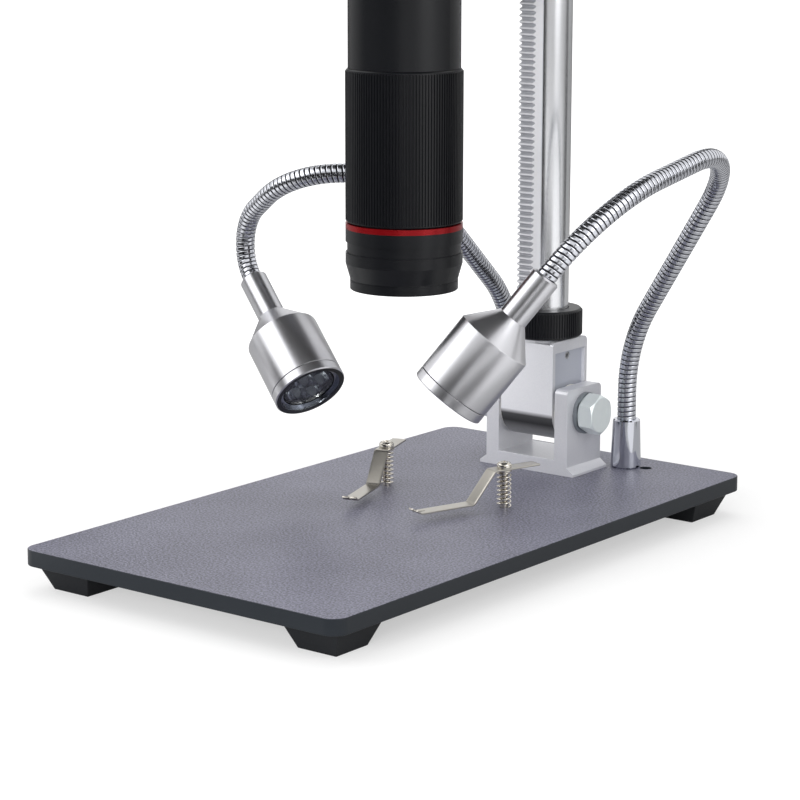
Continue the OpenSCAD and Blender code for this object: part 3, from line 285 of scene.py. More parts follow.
@dataclass(frozen=True, kw_only=True)
class GrainedFinish(Finish):
    """A blasted, textured or moulded surface: fine pits, with a colour that drifts slightly.

    Attributes:
        grain: Size of a pit.
        depth: Depth of a pit.
        second_colour: Colour that the first one drifts to, in sRGB hex.
        drift_size: Size of a drift.
        grain_share: How much of the change of colour follows the pits; the rest drifts.
        softness: How far noise strays from 0.5 before a colour is reached in full.
    """

    grain: float
    depth: float
    second_colour: str
    drift_size: float = 40.0
    grain_share: float = 0.5
    softness: float = 0.5

    def pattern(self, tree: bpy.types.NodeTree, shader: bpy.types.Node) -> None:
        """Adds the grain as bump and speckle, and the drift of the colour.

        Args:
            tree: Node tree of the material.
            shader: Its Principled shader.
        """
        grain = self.noise(tree, self.grain, GRAIN_DETAIL)
        bump = add_node(
            tree, "ShaderNodeBump", {"Strength": 1.0, "Distance": self.depth * MM}, {"Height": grain}
        )
        tree.links.new(bump.outputs["Normal"], shader.inputs["Normal"])
        self.spread_roughness(tree, shader, grain, self.smudge)
        drift = self.noise(tree, self.drift_size, CLOUD_DETAIL)
        share = add_node(
            tree, "ShaderNodeMath", {"operation": "ADD"},
            {0: self.contrast(tree, grain, self.grain_share),
             1: self.contrast(tree, drift, 1 - self.grain_share)},
        )
        both = add_node(
            tree, "ShaderNodeMix",
            {"data_type": "RGBA", 6: linear(self.colour), 7: linear(self.second_colour)},
            {0: share.outputs[0]},
        )
        tree.links.new(both.outputs[2], shader.inputs["Base Color"])

    def contrast(self, tree: bpy.types.NodeTree, value: Socket, top: float) -> Socket:
        """Stretches noise, which stays near 0.5, over a wider range.

        Args:
            tree: Node tree of the material.
            value: The noise.
            top: Highest value after stretching; the lowest is 0.

        Returns:
            The stretched value.
        """
        stretched = add_node(
            tree, "ShaderNodeMapRange",
            {"From Min": 0.5 - self.softness, "From Max": 0.5 + self.softness, "To Max": top},
            {"Value": value},
        )
        return stretched.outputs["Result"]


@dataclass(frozen=True)
class PaintedUndersideFinish(GrainedFinish):
    """A grained metal, painted darker as it curves under: a painted reflection of what lies below it."""

    # Height of the face's normal, from 0 for a wall to -1 for an underside, and the painted shade there.
    shades: tuple[Point, ...] = ((0.0, 1.0), (-0.06, 0.6), (-0.15, 0.1), (-0.4, 0.05), (-0.9, 0.4))

    def pattern(self, tree: bpy.types.NodeTree, shader: bpy.types.Node) -> None:
        """Adds the grain, and multiplies the colour by a painted shade that follows the face's direction.

        Args:
            tree: Node tree of the material.
            shader: Its Principled shader.
        """
        super().pattern(tree, shader)
        normal = add_node(tree, "ShaderNodeTexCoord").outputs["Normal"]
        height = add_node(tree, "ShaderNodeSeparateXYZ", links={"Vector": normal}).outputs["Z"]
        turned = add_node(tree, "ShaderNodeMath", {"operation": "MULTIPLY", 1: -1.0}, {0: height})
        ramp = add_node(tree, "ShaderNodeValToRGB", links={"Fac": turned.outputs[0]})
        stops = ramp.color_ramp.elements
        for number, (up, shade) in enumerate(self.shades):
            stop = stops[number] if number < len(stops) else stops.new(1.0)
            stop.position = -up
            stop.color = (shade, shade, shade, 1.0)
        both = add_node(
            tree, "ShaderNodeMix", {"data_type": "RGBA", "blend_type": "MULTIPLY", 0: 1.0},
            {6: shader.inputs["Base Color"].links[0].from_socket, 7: ramp.outputs["Color"]},
        )
        tree.links.new(both.outputs[2], shader.inputs["Base Color"])


@dataclass(frozen=True, kw_only=True)
class LinedFinish(Finish):
    """A turned or drawn metal: fine lines round or along its axis, and a stretched highlight.

    Attributes:
        axis: Centre line of the piece.
        line: Distance between lines.
        line_depth: Depth of a line.
        stretch: How far the highlight is stretched, from 0 to 1.
        lay: Direction of the lines.
        squeeze: Factor on lengths along the axis, which draws noise out to lines along it.
    """

    axis: Axis
    line: float
    line_depth: float
    stretch: float
    lay: Lay = Lay.AROUND
    squeeze: float = 0.002

    def pattern(self, tree: bpy.types.NodeTree, shader: bpy.types.Node) -> None:
        """Adds the lines and lets the highlight spread across them.

        Args:
            tree: Node tree of the material.
            shader: Its Principled shader.
        """
        place = add_node(tree, "ShaderNodeTexCoord").outputs["Object"]
        mapping = {
            "vector_type": "TEXTURE",
            "Location": [c * MM for c in self.axis.point],
            "Rotation": self.axis.turn(),
        }
        local = add_node(tree, "ShaderNodeMapping", mapping, {"Vector": place}).outputs["Vector"]
        parts = add_node(tree, "ShaderNodeSeparateXYZ", links={"Vector": local})
        around = self.lay is Lay.AROUND
        if around:
            across = add_node(
                tree, "ShaderNodeCombineXYZ", links={"X": parts.outputs["X"], "Y": parts.outputs["Y"]}
            )
            radius = add_node(
                tree, "ShaderNodeVectorMath", {"operation": "LENGTH"}, {0: across.outputs["Vector"]}
            )
            stretched = add_node(
                tree, "ShaderNodeCombineXYZ",
                links={"X": radius.outputs["Value"], "Y": parts.outputs["Z"]},
            ).outputs["Vector"]
        else:
            stretched = add_node(
                tree, "ShaderNodeVectorMath", {"operation": "MULTIPLY", 1: (1, 1, self.squeeze)},
                {0: local},
            ).outputs["Vector"]
        lines = add_node(
            tree, "ShaderNodeTexNoise", {"Scale": 1 / (self.line * MM), "Detail": LINE_DETAIL},
            {"Vector": stretched},
        ).outputs["Fac"]
        bump = add_node(
            tree, "ShaderNodeBump", {"Strength": 1.0, "Distance": self.line_depth * MM}, {"Height": lines}
        )
        tree.links.new(bump.outputs["Normal"], shader.inputs["Normal"])
        self.spread_roughness(tree, shader, lines, self.smudge)
        # The tangent runs round the axis, and a quarter turn lays it along the axis.
        shader.inputs["Anisotropic"].default_value = self.stretch
        shader.inputs["Anisotropic Rotation"].default_value = 0.25 if around else 0.0
        away = add_node(
            tree, "ShaderNodeVectorMath", {"operation": "SUBTRACT", 1: [c * MM for c in self.axis.point]},
            {0: place},
        ).outputs[0]
        tangent = add_node(
            tree, "ShaderNodeVectorMath", {"operation": "CROSS_PRODUCT", 0: self.axis.direction}, {1: away}
        ).outputs[0]
        turned = add_node(
            tree, "ShaderNodeVectorTransform",
            {"vector_type": "VECTOR", "convert_from": "OBJECT", "convert_to": "WORLD"}, {"Vector": tangent},
        )
        tree.links.new(turned.outputs["Vector"], shader.inputs["Tangent"])


@dataclass(frozen=True, kw_only=True)
class ClearFinish(Finish):
    """Clear glass or acrylic.

    Attributes:
        ior: Its index of refraction.
    """

    ior: float

    def pattern(self, tree: bpy.types.NodeTree, shader: bpy.types.Node) -> None:
        """Makes the shader clear."""
        shader.inputs["Transmission Weight"].default_value = 1.0
        shader.inputs["IOR"].default_value = self.ior


# Sand-textured anodising on the plate's top: grey-violet with a fine sparkle, painted lighter than
# the dark anodising as the sheen of the pale room. The real grit is about 0.2 mm, and is drawn at
# 1.1 mm so that it shows.
ANODISED_PLATE = GrainedFinish(
    "sand_textured_anodised_aluminium", "anodised_plate", "#363644", 0.42, smudge=0.08, grain=1.1,
    depth=0.2, second_colour="#8c8c9d", drift_size=60.0, grain_share=0.85, softness=0.13,
)
# The plate's milled rim, anodised with it: smoother and duller than the textured top, and painted
# darker as shade on its sides. The cutter's marks of about 0.1 mm are drawn at 0.6 mm.
PLATE_RIM_PAINTED_SHADE = GrainedFinish(
    "milled_anodised_rim_painted_shade", "anodised_plate", "#1b1f24", 0.36, smudge=0.05, gloss=0.3, grain=0.6,
    depth=0.01, second_colour="#272b30",
)
# Moulded rubber: soft black without gloss. The mould's grain of about 0.1 mm is drawn at 0.5 mm.
FOOT_RUBBER = GrainedFinish(
    "moulded_rubber", "foot_rubber", "#1a1b1e", 0.6, smudge=0.05, gloss=0.3, grain=0.5, depth=0.02,
    second_colour="#242629",
)
# Bead-blasted aluminium: even pale grey, the blasting hides every tool mark. Its pits scatter the
# light, so that it is less than fully metallic. They are about 0.1 mm, and are drawn at 0.7 mm.
SATIN_ALUMINIUM = GrainedFinish(
    "bead_blasted_aluminium", "satin_aluminium", "#dadade", 0.34, metallic=0.4, smudge=0.05,
    grain=0.7, depth=0.03, second_colour="#cfd0d6", drift_size=25.0, softness=0.3,
)
# The milled pocket in the block's sides: duller, darker and cooler than the rest.
POCKET_ALUMINIUM = GrainedFinish(
    "milled_aluminium_pocket", "satin_aluminium", "#c3c6d0", 0.42, metallic=0.4, smudge=0.05,
    grain=0.7, depth=0.03, second_colour="#b2b6c1", drift_size=25.0,
)
# The block's front and ends are blasted as the rest and run into its round underside, which is
# turned smooth. They are painted lighter than the rest, as light on faces that look to the lamps,
# and painted darker on the underside, as a reflection of the dark below it.
BLOCK_ALUMINIUM = PaintedUndersideFinish(
    "blasted_aluminium_painted_light_and_reflection", "satin_aluminium", "#eeeef2", 0.34, metallic=0.35, smudge=0.05,
    gloss=0.2, grain=0.7, depth=0.03, second_colour="#e4e5ea", drift_size=25.0, softness=0.3,
)
# Chrome plating over turned brass: a cold mirror, with faint smudges from handling.
CHROME_STEEL = Finish("chromed_brass", "chrome_steel", "#cfd1d9", 0.08, metallic=1.0)
# Chromed steel wire, wound into the goosenecks: bright and cold, slightly blurred by the winding.
GOOSENECK_STEEL = Finish("chromed_wound_steel", "gooseneck_steel", "#d6d8df", 0.2, metallic=1.0)
# The grooves between the windings: a dark wire colour that is painted shade in the creases.
GOOSENECK_GROOVE_SHADE = Finish("painted_groove_shade", "gooseneck_steel", "#3a3b40", 0.4, metallic=0.8)
# Zinc-plated screws and pins: a plain mid-grey metal with a blurred gloss.
SCREW_STEEL = Finish("zinc_plated_screw_steel", "screw_steel", "#b4b5b7", 0.3, metallic=1.0)
# Blue zinc plating: a cold white metal with a trace of green, passivated in soft clouds.
ZINC_STEEL = GrainedFinish(
    "blue_zinc_plated_steel", "zinc_steel", "#dce4e6", 0.34, metallic=0.5, smudge=0.03, grain=3.0,
    depth=0.004, second_colour="#e8eeee", drift_size=6.0,
)
# Plain steel washers under the bolt's head and the nut: darker and duller than the zinc.
WASHER_STEEL = Finish("plain_steel_washer", "zinc_steel", "#8b9095", 0.36, metallic=0.7)
# Natural nylon, punched from sheet: milky white with a soft gloss.
NYLON_WHITE = Finish("natural_nylon", "nylon_white", "#e4e2da", 0.45)
# Nickel-plated spring steel: a warm white metal, with the satin gloss of rolled strip.
NICKEL_STEEL = Finish(
    "nickel_plated_spring_steel", "nickel_steel", "#bab6ae", 0.31, metallic=1.0, smudge=0.02,
    smudge_size=8.0,
)
# The clips' screws, washers and springs are barrel-polished after plating: a warm mirror.
POLISHED_NICKEL = Finish("polished_nickel_steel", "nickel_steel", "#ddd8ce", 0.13, metallic=1.0)
# Black anodised aluminium, machined: satin black. Its pits of about 0.05 mm are drawn at 0.4 mm.
BLACK_ANODISED = GrainedFinish(
    "satin_black_anodised_aluminium", "black_anodised", "#131417", 0.36, smudge=0.04, gloss=0.3,
    grain=0.4, depth=0.006, second_colour="#1a1b1e",
)
# The barrel's black anodising is deeper: nearly black, with a soft sheen on its ribs. Its pits of
# about 0.05 mm are drawn at 0.5 mm.
BARREL_BLACK = GrainedFinish(
    "matte_black_anodised_aluminium", "barrel_black", "#0c0d10", 0.34, smudge=0.04, gloss=0.3,
    grain=0.5, depth=0.006, second_colour="#121316",
)
# Dyed red anodising over turned metal: a deep red with a metallic sheen.
RED_ANODISED = Finish("red_anodised_aluminium", "red_anodised", "#8c0a12", 0.28, metallic=0.6)
# Machined steel rack: its small bright teeth mirror the pale room from every side, and its near-white
# colour is a painted reflection of that room, so that it reads as an even off-white.
RACK_STEEL = Finish("machined_rack_steel", "rack_steel", "#eeeef2", 0.34, metallic=0.2)
# The gaps between the rack's teeth: painted greyer, as shade between the teeth.
RACK_GAP_SHADE = Finish("painted_rack_gap_shade", "rack_steel", "#c4c5ca", 0.34, metallic=0.2)
# Bored bronze bushes: brown-gold metal with a blurred gloss.
BEARING_BRONZE = Finish("machined_bronze", "bearing_bronze", "#b08d4f", 0.3, metallic=1.0)
# Turned brass of the pinion's shaft and the lens cell: pale yellow metal with a clear gloss.
PINION_BRASS = Finish("machined_brass", "pinion_brass", "#c2a35e", 0.25, metallic=1.0)
# Polished and coated optical glass: clear, with a trace of blue-green.
OPTICAL_GLASS = ClearFinish("coated_optical_glass", "optical_glass", "#e6f2f4", 0.02, ior=1.52)
# Moulded acrylic: clear and colourless, as glossy as its polished mould.
LENS_ACRYLIC = ClearFinish("clear_moulded_acrylic", "lens_acrylic", "#f4f8fa", 0.03, ior=1.49)
# Green solder mask over a circuit board: a dark lacquer with a soft gloss.
BOARD_GREEN = Finish("solder_masked_board", "board_green", "#24482e", 0.35)
# Fine-textured ABS: satin black plastic with a faint moulded grain of about 0.1 mm, which is drawn
# at 0.6 mm.
ABS_BLACK = GrainedFinish(
    "fine_textured_abs", "abs_black", "#1a1b1e", 0.46, smudge=0.05, gloss=0.4, grain=0.6, depth=0.02,
    second_colour="#242529", softness=0.3,
)
# Cover glass over a display that is switched off: black and glossy.
SCREEN_BLACK = Finish("display_glass", "screen_black", "#06070a", 0.08)
# Soft-touch lacquer over moulded plastic: dull mid grey. Its grain of about 0.1 mm is drawn at
# 0.4 mm.
BUTTON_GREY = GrainedFinish(
    "soft_touch_plastic", "button_grey", "#46474b", 0.55, smudge=0.04, grain=0.4, depth=0.01,
    second_colour="#505155",
)
# Drawn and bright anodised aluminium: a pale metal with faint lines along its length. The real
# lines are about 0.1 mm apart, and are drawn at 1.2 mm.
COLUMN_ALUMINIUM = LinedFinish(
    "drawn_bright_aluminium", "column_aluminium", "#e6e7ea", 0.22, metallic=1.0, smudge=0.015,
    axis=Axis((0.0, 123.5, 0.0)), lay=Lay.ALONG, line=1.2, line_depth=0.002, stretch=0.3,
)
# Black anodised front of a lamp: a narrow satin ring.
LAMP_FRONT = Finish("black_anodised_lamp_front", "lamp_aluminium", "#15161a", 0.3)
# The turned step in the lamp's mouth: a thin bright ring inside the black one.
LAMP_STEP = Finish("turned_lamp_step", "lamp_aluminium", "#a4a8b0", 0.2, metallic=1.0)
# The reflector inside the lamp: a mirror painted dark, as shade deep inside the lamp.
LAMP_BORE_SHADE = Finish("painted_shade_lamp_bore", "lamp_aluminium", "#1e2025", 0.15, metallic=1.0)
# White-lacquered board of the lamp: a dull, even white.
CHIP_BOARD = Finish("white_chip_board", "lens_acrylic", "#d8d8d4", 0.4)
# Phosphor in silicone over the lamp's chips: a warm, dull yellow.
CHIP_PHOSPHOR = Finish("led_phosphor", "lens_acrylic", "#e0b93a", 0.4)


def lamp_aluminium(name: str, axis: Axis) -> LinedFinish:
    """Makes the turned aluminium of a lamp: bright, with lines round the lamp's own axis.

    The real lines are about 0.1 mm apart, and are drawn at 1.4 mm.

    Args:
        name: Name of the material.
        axis: Centre line of the lamp.

    Returns:
        The finish of that lamp.
    """
    return LinedFinish(
        name, "lamp_aluminium", "#d2d2d6", 0.31, metallic=1.0, smudge=0.015, axis=axis, line=1.4,
        line_depth=0.002, stretch=0.55,
    )


# ------------------------------------------------------------------ mesh tools


def turned_solid(profile: Sequence[Point], steps: int = 128) -> bmesh.types.BMesh:
    """Spins a closed or open half section round the Z axis.

    Args:
        profile: Points of radius and height. Points on the axis become poles.
        steps: Number of steps round the axis.

    Returns:
        The turned mesh, with its doubles merged and its faces pointing outwards.
    """
    bm = bmesh.new()
    verts = [bm.verts.new((r, 0.0, z)) for r, z in profile]
    edges = [bm.edges.new(pair) for pair in zip(verts, verts[1:])]
    bmesh.ops.spin(
        bm, geom=verts + edges, cent=(0, 0, 0), axis=(0, 0, 1), dvec=(0, 0, 0),
        angle=math.tau, steps=steps, use_merge=True, use_normal_flip=False, use_duplicate=False,
    )
    tidy(bm)
    return bm


def tidy(bm: bmesh.types.BMesh, distance: float = NEW_MERGE) -> None:
    """Merges doubles and turns the faces outwards."""
    bmesh.ops.remove_doubles(bm, verts=bm.verts, dist=distance)
    bmesh.ops.recalc_face_normals(bm, faces=bm.faces)


def sharp_edges(
    bm: bmesh.types.BMesh, angle: float, where: Callable[[Vector], bool] | None = None
) -> list[bmesh.types.BMEdge]:
    """Finds the edges that fold by more than an angle.

    Args:
        bm: Mesh to search.
        angle: Smallest fold.
        where: Test of an edge's middle; all edges pass without it.

    Returns:
        The edges found.
    """
    limit = math.radians(angle)
    return [
        e
        for e in bm.edges
        if e.is_manifold
        and e.calc_face_angle(0.0) > limit
        and (where is None or where((e.verts[0].co + e.verts[1].co) / 2))
    ]


def round_edges(
    bm: bmesh.types.BMesh, edges: Iterable[bmesh.types.BMEdge], width: float, segments: int = 2
) -> None:
    """Rounds edges.

    Args:
        bm: Mesh that holds them.
        edges: The edges.
        width: Width of the rounding.
        segments: Steps across it.
    """
    bmesh.ops.bevel(
        bm, geom=list(edges), offset=width, offset_type="OFFSET", affect="EDGES", segments=segments,
        profile=0.5, clamp_overlap=True, material=-1,
    )


def join(target: bmesh.types.BMesh, other: bmesh.types.BMesh) -> None:
    """Adds a mesh to another.

    Args:
        target: Mesh that grows.
        other: Mesh that is added, and then freed.
    """
    kept = bpy.data.meshes.new("joined")
    other.to_mesh(kept)
    other.free()
    target.from_mesh(kept)
    bpy.data.meshes.remove(kept)


def in_bore(face: bmesh.types.BMFace, radius: float, floor_z: float) -> bool:
    """Tests whether a face belongs to a bore along the Z axis.

    Args:
        face: Face to test.
        radius: Radius of the bore.
        floor_z: Height of its floor.

    Returns:
        True for a face of its wall or floor, or above them within its radius.
    """
    middle = face.calc_center_median()
    return math.hypot(middle.x, middle.y) < radius + NEAR and middle.z > floor_z - NEAR


class Bench:
    """The frame, and what turns finished meshes into pieces of the scene.

    Attributes:
        nodes: The CAD nodes by name.
        body_of: The body that each CAD node rides on.
    """

    def __init__(self, frame: dict[str, Any]) -> None:
        """Keeps what the pieces need of the loaded frame.
        """
        self.nodes: dict[str, bpy.types.Object] = frame["nodes"]
        self.body_of = {
            node: body for body, names in frame["record"]["behaviour"]["bodies"].items() for node in names
        }

    def low(self, node: str) -> Vector:
        """Returns a node's lowest corner in millimetres."""
        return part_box(node)[0] / MM

    def high(self, node: str) -> Vector:
        """Returns a node's highest corner in millimetres."""
        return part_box(node)[1] / MM

    def copy_of(self, node: str) -> bmesh.types.BMesh:
        """Copies a CAD node's mesh in millimetres, merges it and joins its flat faces.

        Args:
            node: Name of the node.

        Returns:
            The copy.
        """
        bm = bmesh.new()
        bm.from_mesh(self.nodes[node].data)
        bmesh.ops.scale(bm, vec=(1 / MM,) * 3, verts=bm.verts)
        bmesh.ops.remove_doubles(bm, verts=bm.verts, dist=CAD_MERGE)
        bmesh.ops.dissolve_limit(
            bm, angle_limit=math.radians(FLAT_FOLD), use_dissolve_boundaries=False, verts=bm.verts,
            edges=bm.edges, delimit=set(),
        )
        return bm

    def piece(
        self,
        name: str,
        bm: bmesh.types.BMesh,
        finish: Finish,
        replaces: Sequence[str] = (),
        body: str = "",
        place: Matrix | None = None,
        extra: Sequence[tuple[Finish, FaceTest]] = (),
        rides: bool = True,
    ) -> bpy.types.Object:
        """Makes a scene piece from a mesh in millimetres.

        Args:
            name: Name of the piece.
            bm: Its mesh, which is freed.
            finish: Its finish.
            replaces: CAD nodes that it stands for.
            body: Body that it rides on; by default that of the first node replaced.
            place: Where the mesh goes, in millimetres.
            extra: Further finishes, each with the test of the faces that get it, before placing.
            rides: False for a piece that rides on no body.

        Returns:
            The piece, at the origin with its place in its mesh.
        """
        for number, (_, test) in enumerate(extra, start=1):
            for face in bm.faces:
                if test(face):
                    face.material_index = number
        if place is not None:
            bmesh.ops.transform(bm, matrix=place, verts=bm.verts)
            if place.determinant() < 0:
                bmesh.ops.reverse_faces(bm, faces=bm.faces)
        bmesh.ops.scale(bm, vec=(MM,) * 3, verts=bm.verts)
        mesh = bpy.data.meshes.new(name)
        bm.to_mesh(mesh)
        bm.free()
        mesh.shade_smooth()
        mesh.set_sharp_from_angle(angle=math.radians(SMOOTH_ANGLE))
        made = bpy.data.objects.new(name, mesh)
        bpy.context.scene.collection.objects.link(made)
        for used in (finish, *(one for one, _ in extra)):
            made.data.materials.append(used.material())
        if rides:
            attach(made, body or self.body_of[replaces[0]])
        if replaces:
            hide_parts(*replaces)
        LOG.info("%s: %d faces, %s", name, len(mesh.polygons), finish.name)
        return made

    def softened(
        self,
        node: str,
        finish: Finish,
        width: float,
        where: Callable[[Vector], bool] | None = None,
        segments: int = 2,
        extra: Sequence[tuple[Finish, FaceTest]] = (),
    ) -> bpy.types.Object:
        """Replaces a CAD node by a copy with its sharp edges rounded.

        Args:
            node: CAD node to copy.
            finish: Its finish.
            width: Width of the rounding.
            where: Test of an edge's middle, true for edges that are rounded; all are without it.
            segments: Steps across a rounding.
            extra: Further finishes with their face tests.

        Returns:
            The new piece. Its flat faces keep straight normals.
        """
        bm = self.copy_of(node)
        round_edges(bm, sharp_edges(bm, ROUNDED_FOLD, where), width, segments)
        made = self.piece(f"{node}_dressed", bm, finish, replaces=[node], extra=extra)
        flat = made.modifiers.new("flat_faces", "WEIGHTED_NORMAL")
        flat.mode = "FACE_AREA"
        flat.keep_sharp = True
        return made

    def paint(self, finish: Finish, *nodes: str) -> None:
        """Gives a finish to CAD nodes that stay.

        Args:
            finish: The finish.
            *nodes: Names of the nodes.
        """
        for name in nodes:
            node = self.nodes[name]
            node.data.materials.clear()
            node.data.materials.append(finish.material())
            LOG.info("%s: CAD node, %s", name, finish.name)


# ------------------------------------------------------------------ bent centre lines


@dataclass(frozen=True)
class Stretch:
    """A straight run and the bend after it.

    Attributes:
        run: Length of the straight run.
        radius: Radius of the bend.
        angle: Angle that it turns through.
        direction: Direction that it bends to, counted from the line's own X axis.
    """

    run: float
    radius: float = 0.0
    angle: float = 0.0
    direction: float = 0.0

    def length(self) -> float:
        """Returns the length along the centre line."""
        return self.run + self.radius * math.radians(self.angle)

    def place_at(self, distance: float) -> Matrix:
        """Finds a place on the stretch.

        Args:
            distance: Distance from the stretch's start.

        Returns:
            Place whose Z axis points along the line.
        """
        if distance <= self.run or self.angle == 0:
            return Matrix.Translation((0, 0, distance))
        turned = (distance - self.run) / self.radius
        bend_axis = Matrix.Rotation(math.radians(self.direction), 4, "Z")
        centre = Matrix.Translation((self.radius, 0, 0))
        bend = centre @ Matrix.Rotation(turned, 4, "Y") @ centre.inverted()
        return Matrix.Translation((0, 0, self.run)) @ bend_axis @ bend @ bend_axis.inverted()


@dataclass(frozen=True)
class Route:
    """Centre line of a flexible arm or a bent strip.

    Attributes:
        start: Place where it starts, with Z along the line.
        stretches: Its runs and bends.
    """

    start: Matrix
    stretches: tuple[Stretch, ...]

    @cached_property
    def starts(self) -> list[tuple[float, Matrix, Stretch]]:
        """Walks the stretches.

        Returns:
            Distance and place where each stretch starts, and the stretch.
        """
        found, distance, place = [], 0.0, self.start.copy()
        for stretch in self.stretches:
            found.append((distance, place, stretch))
            distance += stretch.length()
            place = place @ stretch.place_at(stretch.length())
        return found

    def length(self) -> float:
        """Returns the whole length."""
        return sum(s.length() for s in self.stretches)

    def place_at(self, distance: float) -> Matrix:
        """Finds a place on the centre line.

        Args:
            distance: Distance from the start. Before the start and past the end it runs straight.

        Returns:
            Place whose Z axis points along the line.
        """
        if distance < 0:
            return self.start @ Matrix.Translation((0, 0, distance))
        first, place, stretch = next(one for one in reversed(self.starts) if one[0] <= distance)
        beyond = distance - first - stretch.length()
        if beyond <= 0:
            return place @ stretch.place_at(distance - first)
        return place @ stretch.place_at(stretch.length()) @ Matrix.Translation((0, 0, beyond))


# ------------------------------------------------------------------ base


@dataclass
class Base:
    """Base plate with its feet, sleeves and screws.

    Attributes:
        bench: Bench with the frame.
        rim: Rounding of the plate's outline.
        corner: Square at each corner of the plate that holds its round corner.
        flat_z: Normals of the plate's textured top point up by more than this.
        foot_rim: Rounding of the feet.
        sleeve_foot_r: Radius of a sleeve at the plate.
        sleeve_top_r: Radius at its top.
        sleeve_bore_r: Radius of its bore.
        sleeve_chamfer: Chamfer at its foot and top.
    """

    bench: Bench
    rim: float = 0.5
    corner: float = 9.0
    flat_z: float = 0.9
    foot_rim: float = 0.9
    sleeve_foot_r: float = 8.1
    sleeve_top_r: float = 7.3
    sleeve_bore_r: float = 5.15
    sleeve_chamfer: float = 0.7

    def build(self) -> None:
        """Builds the plate, the feet and the sleeves and dresses the hardware."""
        low, high = self.bench.low("base_plate"), self.bench.high("base_plate")

        def on_outline(middle: Vector) -> bool:
            """True on the plate's outer edges, round corners included.

            Args:
                middle: Middle of an edge.

            Returns:
                Whether the edge gets the rounding.
            """
            near_x = min(middle.x - low.x, high.x - middle.x)
            near_y = min(middle.y - low.y, high.y - middle.y)
            at_corner = near_x < self.corner and near_y < self.corner
            return min(near_x, near_y) < NEAR or at_corner

        self.bench.softened(
            "base_plate", ANODISED_PLATE, self.rim, on_outline, segments=3,
            # The rim's faces get painted shade.
            extra=[(PLATE_RIM_PAINTED_SHADE, lambda face: face.normal.z < self.flat_z)],
        )
        self.bench.softened("rubber_feet", FOOT_RUBBER, self.foot_rim, segments=3)
        self.bench.paint(SCREW_STEEL, "base_screws")
        self.build_sleeves()

    def build_sleeves(self) -> None:
        """Turns both chromed sleeves in one piece."""
        low, high = self.bench.low("gooseneck_sleeves"), self.bench.high("gooseneck_sleeves")
        top, chamfer = high.z, self.sleeve_chamfer
        section = [
            (self.sleeve_bore_r, 0.0), (self.sleeve_foot_r - chamfer, 0.0), (self.sleeve_foot_r, chamfer),
            (self.sleeve_top_r, top - chamfer), (self.sleeve_top_r - chamfer, top),
            (self.sleeve_bore_r, top), (self.sleeve_bore_r, 0.0),
        ]
        both = bmesh.new()
        middle_y = (low.y + high.y) / 2
        for x in (low.x + self.sleeve_foot_r, high.x - self.sleeve_foot_r):
            one = turned_solid(section)
            bmesh.ops.translate(one, vec=(x, middle_y, 0), verts=one.verts)
            join(both, one)
        self.bench.piece("chromed_sleeves", both, CHROME_STEEL, replaces=["gooseneck_sleeves"])


@dataclass
class StandBracket:
    """U bracket, tilt block, pivot bolt and their small parts.

    Attributes:
        bench: Bench with the frame.
        edge: Rounding of the bracket's edges.
        block_edge: Rounding of the block's edges.
        cheek: Side faces that lie deeper than this below the cheeks belong to the pockets.
        side_x: Normals of the block's cheeks and pockets point sideways by more than this.
        front_x: Normals of its front and underside point sideways by less than this.
        front_z: Lowest and highest point of such a normal: the flat bottom and the top stay out.
        bolt_edge: Rounding of the bolt's and the nut's edges.
        bolt_fold: Folds of more degrees than this are rounded on the bolt.
        dimple_r: Radius that holds the dimple of the bolt's head, which is left out.
        dimple_depth: Depth that holds it.
    """

    bench: Bench
    edge: float = 0.45
    block_edge: float = 0.3
    cheek: float = 0.5
    side_x: float = 0.9
    front_x: float = 0.3
    front_z: Point = (-0.99, 0.1)
    bolt_edge: float = 0.2
    bolt_fold: float = 20.0
    dimple_r: float = 3.7
    dimple_depth: float = 0.8

    def build(self) -> None:
        """Builds the bracket, block and bolt and dresses the pivot."""
        self.bench.softened("stand_bracket", SATIN_ALUMINIUM, self.edge)
        self.build_block()
        self.build_bolt()
        self.bench.softened("pivot_nut", ZINC_STEEL, self.bolt_edge)
        self.bench.paint(WASHER_STEEL, "bolt_washers")
        self.bench.paint(NYLON_WHITE, "friction_washers")
        self.bench.paint(SCREW_STEEL, "grub_screws")

    def build_block(self) -> None:
        """Builds the block, with its pockets and its front in finishes of their own."""
        pocket_x = self.bench.high("tilt_block").x - self.cheek
        lowest, highest = self.front_z

        def in_pocket(face: bmesh.types.BMFace) -> bool:
            """True for a side face that lies below the cheeks."""
            return abs(face.normal.x) > self.side_x and abs(face.calc_center_median().x) < pocket_x

        def on_front(face: bmesh.types.BMFace) -> bool:
            """True for a face of the upright ends or of the round underside."""
            return lowest < face.normal.z < highest and abs(face.normal.x) < self.front_x

        # The front, ends and underside get painted light, and a painted reflection underneath.
        self.bench.softened(
            "tilt_block", SATIN_ALUMINIUM, self.block_edge,
            extra=[(POCKET_ALUMINIUM, in_pocket), (BLOCK_ALUMINIUM, on_front)],
        )

    def build_bolt(self) -> None:
        """Copies the bolt with a plain, flat head and rounded edges."""
        low, high = self.bench.low("pivot_bolt"), self.bench.high("pivot_bolt")
        centre = (low + high) / 2
        bm = self.bench.copy_of("pivot_bolt")
        dimple = [
            v for v in bm.verts
            if v.co.x > high.x - self.dimple_depth
            and math.hypot(v.co.y - centre.y, v.co.z - centre.z) < self.dimple_r
        ]
        bmesh.ops.delete(bm, geom=dimple, context="VERTS")
        bmesh.ops.holes_fill(bm, edges=[e for e in bm.edges if e.is_boundary])
        bmesh.ops.recalc_face_normals(bm, faces=bm.faces)
        round_edges(bm, sharp_edges(bm, self.bolt_fold), self.bolt_edge)
        made = self.bench.piece("pivot_bolt_dressed", bm, ZINC_STEEL, replaces=["pivot_bolt"])
        made.modifiers.new("flat_faces", "WEIGHTED_NORMAL").keep_sharp = True


